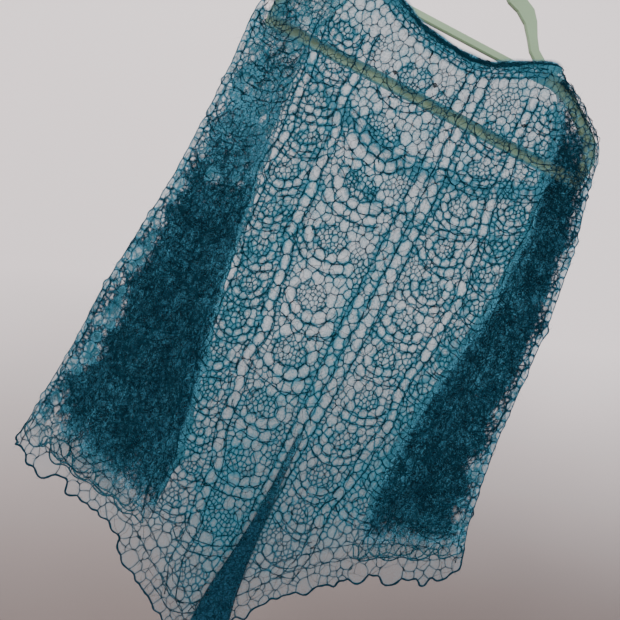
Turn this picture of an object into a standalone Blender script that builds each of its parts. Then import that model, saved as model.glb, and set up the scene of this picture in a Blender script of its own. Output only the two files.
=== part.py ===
"""Triangular mohair lace shawl hung over a flat moulded hanger.

Metres, +Z up, +X to the viewer's right, the wall side at +Y. The origin is the
inner top of the hanger's hook, where it rests on a rail. Sizes and tables below
are in millimetres: x across, z above the middle of the hanger's bottom bar.
"""
import math

import bmesh
import bpy
from mathutils import Vector
from mathutils.geometry import delaunay_2d_cdt

MM = 0.001
HOOK_TOP = 262.0
GAP = 0.3
SEAM = 0.45

# Hanger
HANGER_THICK = 6.0
HANGER_CHAMFER = 1.4
BAR_HEIGHT = 15.0
RAIL_Z = 86.0
RAIL_HEIGHT = 9.0
ROD_RADIUS = 3.0
HOOK_RADIUS = 25.0

# Cloth
WALL = 1.4
FOLD_RADIUS = 8.0
FRONT_DEPTH = 9.0
BAND_RADIUS = 3.2
WING_BAND_RADIUS = 2.2
BORDER_WIDTH = 21.0
SCALLOP_WIDTH = 35.0
SCALLOP_DEPTH = 8.0
MOTIF_PITCH = 69.0
MOTIF_RADIUS = 27.0

# One row per station of a shoulder arm, neck first: outer x, outer z, inner x, inner z
ARM = [
    (12.3, 205.0, 12.3, 172.0),
    (31.0, 184.0, 19.0, 157.0),
    (50.0, 159.0, 32.0, 146.0),
    (62.0, 153.5, 46.0, 141.5),
    (71.5, 142.5, 60.0, 132.5),
    (80.5, 126.5, 71.0, 119.5),
    (89.0, 114.5, 80.0, 107.5),
    (103.0, 105.5, 97.5, 94.5),
    (113.0, 102.0, 99.3, 81.0),
    (127.0, 97.0, 120.0, 82.0),
    (146.0, 89.5, 139.0, 77.0),
    (174.5, 70.0, 165.0, 60.0),
    (197.0, 51.0, 184.0, 44.0),
    (206.0, 30.0, 192.0, 27.0),
    (206.0, 9.0, 192.0, 9.0),
    (204.0, -7.5, 192.0, -7.5),
]

# One row per level of the right side, from the arm down: outer fold x, z, wing's inner edge x, z
RIGHT_SIDE = [
    (130.0, 99.5, 118.0, 104.0),
    (148.5, 91.5, 128.0, 92.0),
    (177.0, 72.5, 139.0, 74.0),
    (200.0, 53.5, 148.0, 52.0),
    (209.5, 27.0, 154.0, 25.0),
    (217.0, -10.0, 161.0, -12.0),
    (234.5, -79.0, 175.0, -76.0),
    (248.8, -182.0, 175.0, -182.0),
    (257.4, -296.0, 163.0, -292.0),
    (266.0, -359.0, 157.0, -357.0),
    (274.6, -408.0, 160.0, -423.0),
    (286.0, -445.0, 174.0, -508.0),
]

# The same for the left side
LEFT_SIDE = [
    (-130.0, 99.5, -118.0, 104.0),
    (-148.5, 91.5, -126.0, 93.0),
    (-177.0, 73.5, -132.0, 78.0),
    (-202.0, 54.0, -139.0, 56.0),
    (-214.0, 31.0, -144.0, 32.0),
    (-222.0, 4.0, -146.0, 2.0),
    (-217.4, -67.0, -142.0, -67.0),
    (-215.0, -193.0, -120.0, -193.0),
    (-220.0, -279.0, -106.0, -279.0),
    (-226.0, -359.0, -87.0, -359.0),
    (-225.5, -422.0, -70.0, -424.0),
    (-228.8, -500.0, -54.0, -512.0),
    (-231.7, -559.0, -58.0, -584.0),
]

# One row per turn across a wing: share of its width, depth at the top, depth low down
WING_FOLDS = [
    (0.00, 8.5, 9.0),
    (0.14, 8.5, 12.5),
    (0.34, 8.5, 8.5),
    (0.56, 8.5, 13.0),
    (0.78, 8.5, 9.0),
    (0.95, 8.5, 11.5),
    (1.00, 10.2, 14.5),
    (0.95, 12.0, 17.5),
    (0.72, 12.0, 20.0),
    (0.43, 12.0, 16.5),
    (0.15, 12.0, 20.0),
    (0.09, 13.8, 23.0),
    (0.15, 15.6, 26.0),
    (0.41, 15.6, 23.5),
    (0.68, 15.6, 28.0),
    (0.88, 15.6, 24.5),
]

# The scalloped lower side, from the left fold to the spine, and from the spine to the right fold
HEM_LEFT = [(-231.7, -559.0), (-206.0, -570.0), (-176.0, -573.5), (-146.0, -582.0), (-111.0, -591.0),
            (-83.0, -598.0), (-58.0, -615.0), (-31.0, -635.0), (-8.0, -648.0), (14.0, -661.0), (33.0, -675.0)]
HEM_RIGHT = [(81.0, -627.0), (96.0, -608.0), (113.0, -588.0), (132.0, -563.0), (152.0, -545.0),
             (174.0, -524.0), (198.0, -507.0), (226.0, -494.0), (255.0, -483.0), (274.0, -467.0), (286.0, -445.0)]

# One row per level of the spine: z, left x, right x
SPINE = [
    (62.0, 38.0, 48.0),
    (-22.0, 38.5, 48.5),
    (-113.0, 43.5, 54.0),
    (-193.0, 46.0, 57.0),
    (-279.0, 46.0, 57.0),
    (-365.0, 47.0, 58.0),
    (-450.0, 47.5, 59.0),
    (-508.0, 46.0, 62.0),
    (-560.0, 42.0, 67.0),
    (-600.0, 38.0, 74.0),
    (-627.0, 35.0, 80.7),
    (-645.0, 33.5, 74.0),
    (-662.0, 32.7, 66.0),
    (-675.0, 33.3, 58.0),
    (-686.0, 43.0, 50.0),
]

# The rolled top edge from arm to arm: x, z, depth
NECK = [(-122.0, 104.6, 0.0), (-115.0, 105.2, -4.0), (-106.0, 101.6, -7.6), (-94.0, 96.0, -8.4), (-78.0, 87.5, -8.6),
        (-50.0, 75.0, -9.0), (-20.0, 68.5, -9.4), (14.0, 65.8, -9.6), (40.0, 68.0, -9.4), (66.0, 80.0, -9.0),
        (84.0, 90.5, -8.6), (96.0, 97.0, -8.4), (106.0, 101.6, -7.6), (115.0, 105.2, -4.0), (122.0, 104.6, 0.0)]

# Columns of clusters: middle x at the top and at the foot, first z, last z
COLUMNS = [
    (-20.0, 22.0, 20.0, -660.0),
    (-106.0, -34.0, -18.0, -600.0),
    (84.0, 90.0, 12.0, -600.0),
    (160.0, 150.0, -20.0, -520.0),
    (-178.0, -128.0, 14.0, -570.0),
    (214.0, 208.0, -40.0, -500.0),
]


def smooth(rows, share):
    """Point on a smooth curve through the rows, share 0 at the first row and 1 at the last."""
    place = min(max(share, 0.0), 1.0) * (len(rows) - 1)
    i = min(int(place), len(rows) - 2)
    f = place - i
    a = rows[max(i - 1, 0)]
    b = rows[i]
    c = rows[i + 1]
    d = rows[min(i + 2, len(rows) - 1)]
    out = []
    for p, q, r, s in zip(a, b, c, d):
        bend = 0.5 * (2 * q + (r - p) * f + (2 * p - 5 * q + 4 * r - s) * f * f + (3 * q - p - 3 * r + s) * f ** 3)
        out.append(bend)
    return out


def spaced(loop):
    """The closed loop without points that nearly touch the one before."""
    out = []
    for p in loop:
        if not out or math.dist(out[-1], p) > 0.8:
            out.append(tuple(p))
    if math.dist(out[0], out[-1]) < 0.8:
        out.pop()
    return out


def evenly(rows, step):
    """Points at even spacing near step along the smooth curve through the rows."""
    fine = [smooth(rows, i / 400) for i in range(401)]
    runs = [0.0]
    for a, b in zip(fine, fine[1:]):
        runs.append(runs[-1] + math.dist(a, b))
    count = max(2, round(runs[-1] / step))
    out = []
    j = 0
    for k in range(count + 1):
        goal = runs[-1] * k / count
        while j < 399 and runs[j + 1] < goal:
            j += 1
        f = (goal - runs[j]) / (runs[j + 1] - runs[j])
        out.append([p + (q - p) * f for p, q in zip(fine[j], fine[j + 1])])
    return out


def level(rows, z):
    """The row values at height z, between rows sorted downwards by their first column."""
    for a, b in zip(rows, rows[1:]):
        if z >= b[0]:
            f = min(max((z - a[0]) / (b[0] - a[0]), 0.0), 1.0)
            return [p + (q - p) * f for p, q in zip(a, b)]
    return list(rows[-1])


def inside(loop, x, z):
    """True where the point lies inside the closed loop, by counting crossings."""
    hit = False
    for (ax, az), (bx, bz) in zip(loop, loop[1:] + loop[:1]):
        if (az > z) != (bz > z) and x < ax + (z - az) / (bz - az) * (bx - ax):
            hit = not hit
    return hit


def away(lines, x, z):
    """Distance from the point to the nearest of the lines."""
    best = 1e9
    for line in lines:
        for (ax, az), (bx, bz) in zip(line, line[1:]):
            run = (bx - ax) ** 2 + (bz - az) ** 2
            f = min(max(((x - ax) * (bx - ax) + (z - az) * (bz - az)) / run, 0.0), 1.0)
            best = min(best, math.hypot(ax + f * (bx - ax) - x, az + f * (bz - az) - z))
    return best


def finish(name, points, faces, colour, roughness):
    """A closed object from points in millimetres, with its own material."""
    shape = bmesh.new()
    verts = [shape.verts.new((x * MM, y * MM, (z - HOOK_TOP) * MM)) for x, y, z in points]
    for face in faces:
        shape.faces.new([verts[i] for i in face])
    bmesh.ops.recalc_face_normals(shape, faces=shape.faces)
    mesh = bpy.data.meshes.new(name)
    shape.to_mesh(mesh)
    shape.free()
    material = bpy.data.materials.new(name)
    material.use_nodes = True
    shader = material.node_tree.nodes["Principled BSDF"]
    shader.inputs["Base Color"].default_value = (*colour, 1.0)
    shader.inputs["Roughness"].default_value = roughness
    mesh.materials.append(material)
    thing = bpy.data.objects.new(name, mesh)
    bpy.context.scene.collection.objects.link(thing)


def skin(name, rings, colour, roughness):
    """Closed body from a row of rings of equal count, capped at both ends."""
    count = len(rings[0])
    points = [p for ring in rings for p in ring]
    faces = [list(range(count))[::-1]]
    for k in range(len(rings) - 1):
        for i in range(count):
            j = (i + 1) % count
            faces.append([k * count + i, k * count + j, (k + 1) * count + j, (k + 1) * count + i])
    faces.append([(len(rings) - 1) * count + i for i in range(count)])
    finish(name, points, faces, colour, roughness)


def plank(name, stations, flip, colour):
    """Flat moulded bar with chamfered edges through (outer x, outer z, inner x, inner z) stations."""
    half = HANGER_THICK / 2
    rings = []
    for ox, oz, ix, iz in stations:
        run = math.hypot(ix - ox, iz - oz)
        ux = (ix - ox) / run * HANGER_CHAMFER
        uz = (iz - oz) / run * HANGER_CHAMFER
        low = half - HANGER_CHAMFER
        ring = [(ox, -low, oz), (ox + ux, -half, oz + uz), (ix - ux, -half, iz - uz), (ix, -low, iz),
                (ix, low, iz), (ix - ux, half, iz - uz), (ox + ux, half, oz + uz), (ox, low, oz)]
        rings.append([(flip * x, y, z) for x, y, z in ring])
    skin(name, rings, colour, 0.42)


def tube(name, path, radii, sides, colour, roughness, flat=1.0):
    """Round body along a path of (x, y, z), with a radius a station and closed domed ends."""
    rings = []
    line = [Vector(p) for p in path]
    across = Vector((0.0, 1.0, 0.0))
    for k, here in enumerate(line):
        ahead = (line[min(k + 1, len(line) - 1)] - line[max(k - 1, 0)]).normalized()
        side = ahead.cross(across).normalized()
        up = side.cross(ahead).normalized()
        ring = []
        for i in range(sides):
            turn = 2 * math.pi * (i + 0.5) / sides
            ring.append(here + side * math.cos(turn) * radii[k] + up * math.sin(turn) * radii[k] * flat)
        rings.append([tuple(p) for p in ring])
    skin(name, rings, colour, roughness)


def ease(share):
    """Quarter-round profile from a fold's edge, 0 at the edge and 1 at its full depth."""
    share = min(max(share, 0.0), 1.0)
    return 1 - (1 - share) ** 2


def drape(x, z):
    """Depth of the hanging front layer: two swags between the shoulders and soft upright folds."""
    high = -67.0 + 45.0 * ((x - 17.0) / 146.0) ** 2
    low = -128.0 + 60.0 * ((x - 40.0) / 150.0) ** 2
    swag = 4.5 * math.exp(-((z - high) / 15.0) ** 2) + 2.5 * math.exp(-((z - low) / 18.0) ** 2)
    grow = min(max((-z - 60.0) / 420.0, 0.0), 1.0)
    wave = math.sin(2 * math.pi * (x - 48.0) / 124.0 + 0.5 * math.sin(z / 110.0) + 0.9)
    fine = math.sin(2 * math.pi * (x + 0.12 * z) / 57.0)
    return -FRONT_DEPTH - swag - grow * (3.2 + 3.2 * wave + 1.0 * fine)


def front(x, z, lift=0.0):
    """Point of the front layer at (x, z), turning back to the fold's edge at both sides."""
    turn = ease(away(FOLD_LINES, x, z) / FOLD_RADIUS)
    edge = WALL / 2 * 0.45 + GAP / 2
    return Vector((x, -edge + (drape(x, z) + edge - lift) * turn, z))


def slope(place, x, z):
    """Unit normal of a placed cloth, away from the wall, by small steps inwards from a fold."""
    step = 0.6
    if away(FOLD_LINES, x, z) < step:
        inward = max(((x + i * step, z + k * step) for i in (-1, 0, 1) for k in (-1, 0, 1)),
                     key=lambda p: away(FOLD_LINES, p[0], p[1]) if inside(WHOLE, p[0], p[1]) else -1.0)
        x = inward[0] + (inward[0] - x)
        z = inward[1] + (inward[1] - z)
    along = place(x + step / 2, z) - place(x - step / 2, z)
    down = place(x, z + step / 2) - place(x, z - step / 2)
    return along.cross(down).normalized()


def lace(name, rim, cuts, extra, place, colour):
    """Cloth wall over the area inside the rim, with each cut as a hole right through it."""
    points = []
    edges = []
    for loop in [rim] + cuts:
        start = len(points)
        points += [Vector(p) for p in loop]
        edges += [(start + i, start + (i + 1) % len(loop)) for i in range(len(loop))]
    points += [Vector(p) for p in extra]
    flat, _, cells, _, _, _ = delaunay_2d_cdt(points, edges, [], 0, 1e-5)
    kept = []
    for a, b, c in cells:
        x = (flat[a].x + flat[b].x + flat[c].x) / 3
        z = (flat[a].y + flat[b].y + flat[c].y) / 3
        if inside(rim, x, z) and not any(inside(cut, x, z) for cut in cuts if math.dist(cut[0], (x, z)) < 45.0):
            kept.append((a, b, c))
    used = sorted({i for cell in kept for i in cell})
    index = {v: i for i, v in enumerate(used)}
    count = len(used)
    outer = []
    inner = []
    for v in used:
        here = place(flat[v].x, flat[v].y)
        lean = slope(place, flat[v].x, flat[v].y)
        outer.append(tuple(here + lean * WALL / 2))
        inner.append(tuple(here - lean * WALL / 2))
    faces = []
    sides = {}
    for cell in kept:
        a, b, c = [index[v] for v in cell]
        faces.append([a, b, c])
        faces.append([count + c, count + b, count + a])
        for p, q in ((a, b), (b, c), (c, a)):
            sides[(p, q)] = True
    for p, q in sides:
        if (q, p) not in sides:
            faces.append([q, p, count + p, count + q])
    finish(name, outer + inner, faces, colour, 0.95)


def sheet(name, place, across, down, colour):
    """Cloth wall over a grid of shares, placed by the function, with both sides and all edges."""
    step = 0.004
    rows = len(down)
    cols = len(across)
    outer = []
    inner = []
    for t in down:
        for s in across:
            s0 = min(max(s, step), 1.0 - step)
            t0 = min(max(t, step), 1.0 - step)
            lean = (place(s0 + step, t0) - place(s0 - step, t0)).cross(place(s0, t0 + step) - place(s0, t0 - step))
            lean.normalize()
            outer.append(tuple(place(s, t) + lean * WALL / 2))
            inner.append(tuple(place(s, t) - lean * WALL / 2))
    count = rows * cols
    faces = []
    for j in range(rows - 1):
        for i in range(cols - 1):
            a = j * cols + i
            faces.append([a, a + 1, a + cols + 1, a + cols])
            faces.append([count + a + cols, count + a + cols + 1, count + a + 1, count + a])
    rim = [i for i in range(cols)] + [j * cols + cols - 1 for j in range(1, rows)]
    rim += [(rows - 1) * cols + i for i in range(cols - 2, -1, -1)] + [j * cols for j in range(rows - 2, 0, -1)]
    for p, q in zip(rim, rim[1:] + rim[:1]):
        faces.append([q, p, count + p, count + q])
    finish(name, outer + inner, faces, colour, 0.95)


def offset(line, amount):
    """The line moved sideways to its left by the amount."""
    out = []
    for k, (x, z) in enumerate(line):
        bx, bz = line[max(k - 1, 0)]
        cx, cz = line[min(k + 1, len(line) - 1)]
        run = math.hypot(cx - bx, cz - bz)
        out.append((x - (cz - bz) / run * amount, z + (cx - bx) / run * amount))
    return out


def cut_back(line, amount):
    """The line shortened by the amount at its end."""
    left = amount
    out = list(line)
    while math.dist(out[-1], out[-2]) < left:
        left -= math.dist(out[-1], out[-2])
        out.pop()
    f = left / math.dist(out[-1], out[-2])
    out[-1] = tuple(p + (q - p) * f for p, q in zip(out[-1], out[-2]))
    return out


def scallops(line, count):
    """The line with bind-off loops standing out below it, six steps a loop."""
    out = []
    fine = evenly(line, math.dist(line[0], line[-1]) / (count * 7))
    steps = count * 6
    base = evenly([tuple(p) for p in fine], 1.0)
    lowered = offset([tuple(p) for p in base], -1.0)
    for k in range(steps + 1):
        i = round(k / steps * (len(base) - 1))
        deep = SCALLOP_DEPTH * math.sin(math.pi * (k % 6) / 6) ** 0.8
        x, z = base[i]
        dx = lowered[i][0] - x
        dz = lowered[i][1] - z
        out.append((x + dx * deep, z + dz * deep))
    return out


def oval(x, z, wide, tall, turn, count=6):
    """Loop of points round an eyelet, its long side turned from upright by turn."""
    out = []
    for i in range(count):
        a = 2 * math.pi * (i + 0.5) / count
        dx = wide / 2 * math.cos(a)
        dz = tall / 2 * math.sin(a)
        out.append((x + dx * math.cos(turn) - dz * math.sin(turn), z + dx * math.sin(turn) + dz * math.cos(turn)))
    return out


def eyelets():
    """The largest eyelets of each repeat: an arc under every cluster and ladders by the spine."""
    out = []
    for number, (top_x, foot_x, first, last) in enumerate(COLUMNS):
        z = first
        while z > last:
            x = top_x + (foot_x - top_x) * (first - z) / 680.0
            for angle in (-150.0, -120.0, -90.0, -60.0, -30.0):
                a = math.radians(angle)
                spot = (x + MOTIF_RADIUS * math.cos(a), z + MOTIF_RADIUS * math.sin(a))
                out.append((spot[0], spot[1], 8.6, 12.0, a + math.pi / 2))
            z -= MOTIF_PITCH
    z = 48.0
    while z > -560.0:
        _, low, high = level(SPINE, z)
        out.append((low - 8.0, z, 7.0, 12.5, 0.0))
        out.append((high + 8.0, z - 15.0, 7.0, 12.5, 0.0))
        z -= 30.0
    return out


def chosen(rim, spots, taken, room):
    """The eyelets that fit inside the rim with cloth left round them, as loops."""
    edge = rim + rim[:1]
    out = []
    for x, z, wide, tall, turn in spots:
        loop = oval(x, z, wide, tall, turn)
        if not all(inside(rim, *p) and away([edge], *p) > room for p in loop):
            continue
        if any(math.hypot(x - u, z - v) < 11.6 for u, v in taken):
            continue
        taken.append((x, z))
        out.append(loop)
    return out


def fillers(rim, cuts, pitch):
    """Points that carry the folds between eyelets, on a staggered grid clear of every loop."""
    loops = [rim + rim[:1]] + [cut + cut[:1] for cut in cuts]
    xs = [p[0] for p in rim]
    zs = [p[1] for p in rim]
    out = []
    z = min(zs)
    row = 0
    while z < max(zs):
        x = min(xs) + (row % 2) * pitch / 2
        while x < max(xs):
            if inside(rim, x, z) and away(loops, x, z) > 6.0 and away(FOLD_LINES, x, z) > 16.0:
                out.append((x, z))
            x += pitch
        z += pitch * 0.8
        row += 1
    return out


def wing_place(rows):
    """Function of (share across the folded cloth, share down) for a wing hung behind the arm."""
    outline = [[(r[0], r[1]) for r in rows]]

    def place(s, t):
        level_row = smooth(rows, t)
        share, near, far = smooth(WING_FOLDS, s)
        blend = ease(t / 0.45)
        x = level_row[0] + (level_row[2] - level_row[0]) * share
        z = level_row[1] + (level_row[3] - level_row[1]) * share
        depth = near + (far - near) * blend
        if s < 0.36:
            edge = WALL / 2 * 0.45 + GAP / 2
            depth = edge + (depth - edge) * ease(away(outline, x, z) / FOLD_RADIUS)
        return Vector((x, depth, z))

    return place


def wing_foot(place, loops):
    """Function of (share across, share down) for a wing's scalloped foot, hanging below its cloth."""

    def foot(s, t):
        top = place(s, 0.965) - Vector((0.0, 0.0, GAP))
        deep = 0.35 + 0.65 * abs(math.sin(math.pi * loops * s)) ** 0.8
        low = place(s, 1.0) - Vector((0.0, 0.0, SCALLOP_DEPTH * deep))
        return top + (low - top) * t

    return foot


for old in list(bpy.data.objects):
    bpy.data.objects.remove(old)

TEAL = (0.012, 0.115, 0.165)
TEAL_DEEP = (0.006, 0.075, 0.125)
SAGE = (0.36, 0.47, 0.33)

# Hanger: two arms, bottom bar, inner rail, then neck and hook in one
plank("hanger_arm_right", ARM, 1, SAGE)
plank("hanger_arm_left", ARM, -1, SAGE)
bar_end = 192.0 - GAP
plank("hanger_bar", [(x, BAR_HEIGHT / 2, x, -BAR_HEIGHT / 2) for x in (-bar_end, -90.0, 0.0, 90.0, bar_end)], 1, SAGE)
rail_end = 99.3 - GAP
rail_top = RAIL_Z + RAIL_HEIGHT / 2
rail_foot = RAIL_Z - RAIL_HEIGHT / 2
plank("hanger_rail", [(-97.2, rail_top, -rail_end, rail_foot), (-60.0, rail_top, -60.0, rail_foot),
                      (60.0, rail_top, 60.0, rail_foot), (97.2, rail_top, rail_end, rail_foot)], 1, SAGE)

hook_rings = []
for z, wide, deep, square in ((174.0, 12.0, 3.0, 1.5), (203.0, 12.0, 3.0, 1.5), (209.0, 8.5, 3.0, 1.2), (213.0, 4.5, 3.0, 1.0)):
    ring = []
    for i in range(10):
        a = 2 * math.pi * (i + 0.5) / 10
        c = min(max(math.cos(a) * square, -1.0), 1.0)
        s = min(max(math.sin(a) * square, -1.0), 1.0)
        ring.append((wide * c, deep * s, z))
    hook_rings.append(ring)
stem = [(0.0, 217.0), (1.2, 222.0), (5.5, 226.5), (13.5, 227.0)]
centre_z = HOOK_TOP + ROD_RADIUS - HOOK_RADIUS
bend = [(HOOK_RADIUS * math.cos(a), centre_z + HOOK_RADIUS * math.sin(a))
        for a in [math.radians(-12.0 + 16.5 * k) for k in range(14)]]
rod = stem + bend
ends = [Vector((x, 0.0, z)) for x, z in rod]
for k, here in enumerate(ends):
    ahead = (ends[min(k + 1, len(ends) - 1)] - ends[max(k - 1, 0)]).normalized()
    side = Vector((0.0, 1.0, 0.0)).cross(ahead).normalized()
    size = ROD_RADIUS * (0.55 if k == len(ends) - 1 else 1.0)
    ring = []
    for i in range(10):
        a = 2 * math.pi * (i + 0.5) / 10
        ring.append(tuple(here + side * math.cos(a) * size + Vector((0.0, 1.0, 0.0)) * math.sin(a) * size))
    hook_rings.append(ring)
skin("hanger_hook", hook_rings, SAGE, 0.42)

# Fold lines down both sides and the outline of the whole front layer
fold_right = [tuple(p[:2]) for p in evenly([r[:2] for r in RIGHT_SIDE], 21.0)]
fold_left = [tuple(p[:2]) for p in evenly([r[:2] for r in LEFT_SIDE], 21.0)]
FOLD_LINES = [fold_right, fold_left]
neck_line = [(x, z) for x, z, _ in NECK]
WHOLE = fold_left[::-1] + [(p[0], p[1]) for p in NECK[2:-2]] + fold_right + HEM_RIGHT[::-1] + HEM_LEFT[::-1]

# Spine: a narrow rib that opens into a pleat at the tip, with two raised lines of stitches
RIB_SHARES = (0.0, 0.22, 0.5, 0.78, 1.0)


def spine_front(x, z):
    """The spine's middle layer stands a little before the lace."""
    return front(x, z, 1.2)


spine_z = [62.0 - 24.5 * k for k in range(28)]
spine_z += [-617.0, -627.0, -636.0, -645.0, -654.0, -663.0, -671.0, -679.0, -686.0]
outer = []
inner = []
for z in spine_z:
    _, low, high = level(SPINE, z)
    for k, share in enumerate(RIB_SHARES):
        x = low + (high - low) * share
        here = spine_front(x, z)
        raised = 0.9 if k in (1, 3) else 0.0
        outer.append((x, here.y - WALL / 2 - raised, z))
        inner.append((x, here.y + WALL / 2, z))
cols = len(RIB_SHARES)
count = len(outer)
faces = []
for j in range(len(spine_z) - 1):
    for i in range(cols - 1):
        a = j * cols + i
        faces.append([a, a + 1, a + cols + 1, a + cols])
        faces.append([count + a + cols, count + a + cols + 1, count + a + 1, count + a])
rim = list(range(cols)) + [j * cols + cols - 1 for j in range(1, len(spine_z))]
rim += [(len(spine_z) - 1) * cols + i for i in range(cols - 2, -1, -1)]
rim += [j * cols for j in range(len(spine_z) - 2, 0, -1)]
for p, q in zip(rim, rim[1:] + rim[:1]):
    faces.append([q, p, count + p, count + q])
finish("spine", outer + inner, faces, TEAL_DEEP, 0.95)

# Neck band: the rolled top edge, over both arms
band = evenly(NECK, 11.0)
tube("neck_band", [(x, y, z) for x, z, y in band], [BAND_RADIUS] * len(band), 7, TEAL_DEEP, 0.95)

# Panels and their scalloped borders, left and right of the spine
under_band = BAND_RADIUS + GAP + 0.2
spine_left = [(level(SPINE, z)[1] - GAP, z) for z in spine_z]
spine_right = [(level(SPINE, z)[2] + GAP, z) for z in spine_z]
taken = []
spots = eyelets()
for side in ("left", "right"):
    hem_rows = HEM_LEFT if side == "left" else HEM_RIGHT
    fold = fold_left if side == "left" else fold_right
    hem = [tuple(p) for p in evenly(hem_rows, 12.0)]
    band_side = [p for p in evenly(neck_line, 12.0) if abs(p[0]) < 112.0]
    under = offset([tuple(p) for p in band_side], -under_band)
    fold_part = cut_back(fold, BORDER_WIDTH * 1.1 + SEAM)
    fold_foot = cut_back(fold, BORDER_WIDTH * 1.1)[-1]
    seams = []
    for width in (BORDER_WIDTH + SEAM, BORDER_WIDTH):
        seams.append([p for p in offset(hem, width) if inside(WHOLE, *p) and away([fold], *p) > 8.0])
    hem_line = scallops(hem, round((310 if side == "left" else 300) / SCALLOP_WIDTH))
    if side == "left":
        upright = [(level(SPINE, 61.0)[1] - GAP, 61.0)] + [p for p in spine_left if -654.0 < p[1] < 57.0]
        meet = upright[0]
        top = [p for p in under if p[0] < meet[0] - 3.0]
        low_line, border_top = [[p for p in seam if p[0] < upright[-1][0] - 2.0] for seam in seams]
        foot = [p for p in spine_left if -676.0 < p[1] <= -663.0]
        panel_rim = fold_part[::-1] + [(-118.0, 97.0)] + top + upright + low_line[::-1]
        border_rim = [fold_foot] + border_top + foot + hem_line[::-1]
    else:
        upright = [(level(SPINE, 61.0)[2] + GAP, 61.0)] + [p for p in spine_right if -600.0 < p[1] < 57.0]
        meet = upright[0]
        top = [p for p in under if p[0] > meet[0] + 3.0]
        low_line, border_top = [[p for p in seam if p[0] > upright[-1][0] + 2.0] for seam in seams]
        foot = [p for p in spine_right if -628.0 < p[1] < -601.0]
        panel_rim = upright[::-1] + top + [(118.0, 97.0)] + fold_part + low_line[::-1]
        border_rim = foot[::-1] + border_top + [fold_foot] + hem_line[::-1]
    panel_rim = spaced(panel_rim)
    border_rim = spaced(border_rim)
    cuts = chosen(panel_rim, spots, taken, 2.2)
    loops = [panel_rim + panel_rim[:1]] + [cut + cut[:1] for cut in cuts]
    ring = offset(fold_part if side == "right" else fold_part[::-1], -FOLD_RADIUS)
    ring = [p for p in ring if inside(panel_rim, *p) and away(loops, *p) > 2.5]
    lace("panel_" + side, panel_rim, cuts, ring + fillers(panel_rim, cuts, 32.0), front, TEAL)
    loops = []
    for k in range(3, len(hem_line), 6):
        x, z = hem_line[k]
        near = min(range(len(hem)), key=lambda i: math.dist(hem[i], (x, z)))
        ax, az = hem[max(near - 1, 0)]
        bx, bz = hem[min(near + 1, len(hem) - 1)]
        turn = math.atan2(bz - az, bx - ax)
        up = (-math.sin(turn), math.cos(turn))
        loops.append((x + up[0] * 6.5, z + up[1] * 6.5, 20.0, 8.0, turn))
        loops.append((x + up[0] * 18.5, z + up[1] * 18.5, 13.0, 8.0, turn))
    border_cuts = []
    for x, z, wide, tall, turn in loops:
        loop = oval(x, z, wide, tall, turn, 8 if wide > 15.0 else 6)
        if all(inside(border_rim, *p) for p in loop) and away([border_rim + border_rim[:1]], x, z) > tall / 2 + 1.2:
            border_cuts.append(loop)
    lace("border_" + side, border_rim, border_cuts, [], front, TEAL_DEEP)

# Wings: the long corners folded in three behind the arms, each with its scalloped foot and edge band
for side, rows, loops in (("left", LEFT_SIDE, 14), ("right", RIGHT_SIDE, 10)):
    place = wing_place(rows)
    down = [0.965 * k / 13 for k in range(14)]
    sheet("wing_" + side, place, [k / 24 for k in range(25)], down, TEAL_DEEP)
    steps = loops * 4
    foot = wing_foot(place, loops)
    sheet("wing_border_" + side, foot, [k / steps for k in range(steps + 1)], [0.0, 1.0], TEAL_DEEP)
    line = []
    for t in down[2:]:
        tip = place(1.0, t)
        way = (tip - place(0.985, t)).normalized()
        line.append(tuple(tip + way * (WING_BAND_RADIUS + 1.3)))
    tube("wing_band_" + side, line, [WING_BAND_RADIUS] * len(line), 6, TEAL_DEEP, 0.95)
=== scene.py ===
"""A triangular mohair lace shawl hung over a flat moulded hanger, seen from the side where the lace hangs in
front. Sizes are in millimetres, x across and z above the middle of the hanger's bottom bar, until a mesh is made.
"""
import math
from types import SimpleNamespace

import bpy
import numpy as np
from mathutils import Matrix, Vector
from mathutils.geometry import delaunay_2d_cdt

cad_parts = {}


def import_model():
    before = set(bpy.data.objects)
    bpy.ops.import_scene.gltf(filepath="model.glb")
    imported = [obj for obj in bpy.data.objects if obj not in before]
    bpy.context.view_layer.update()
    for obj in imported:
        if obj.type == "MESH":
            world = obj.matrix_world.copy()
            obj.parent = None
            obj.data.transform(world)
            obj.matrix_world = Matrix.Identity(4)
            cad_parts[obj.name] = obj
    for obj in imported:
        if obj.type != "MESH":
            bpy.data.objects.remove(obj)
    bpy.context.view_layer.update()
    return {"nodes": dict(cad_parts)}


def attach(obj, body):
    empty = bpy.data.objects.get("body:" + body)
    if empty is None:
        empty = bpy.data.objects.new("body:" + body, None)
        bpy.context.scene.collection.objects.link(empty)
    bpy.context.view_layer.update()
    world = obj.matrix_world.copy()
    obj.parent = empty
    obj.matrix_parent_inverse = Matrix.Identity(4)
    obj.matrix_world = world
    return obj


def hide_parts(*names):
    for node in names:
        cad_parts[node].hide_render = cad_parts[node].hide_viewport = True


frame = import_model()


# The hanger: moulded in one in sage green plastic, with a fine satin grain from the mould and a cloudy tone.
# Its five solids keep their CAD shape.

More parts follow.
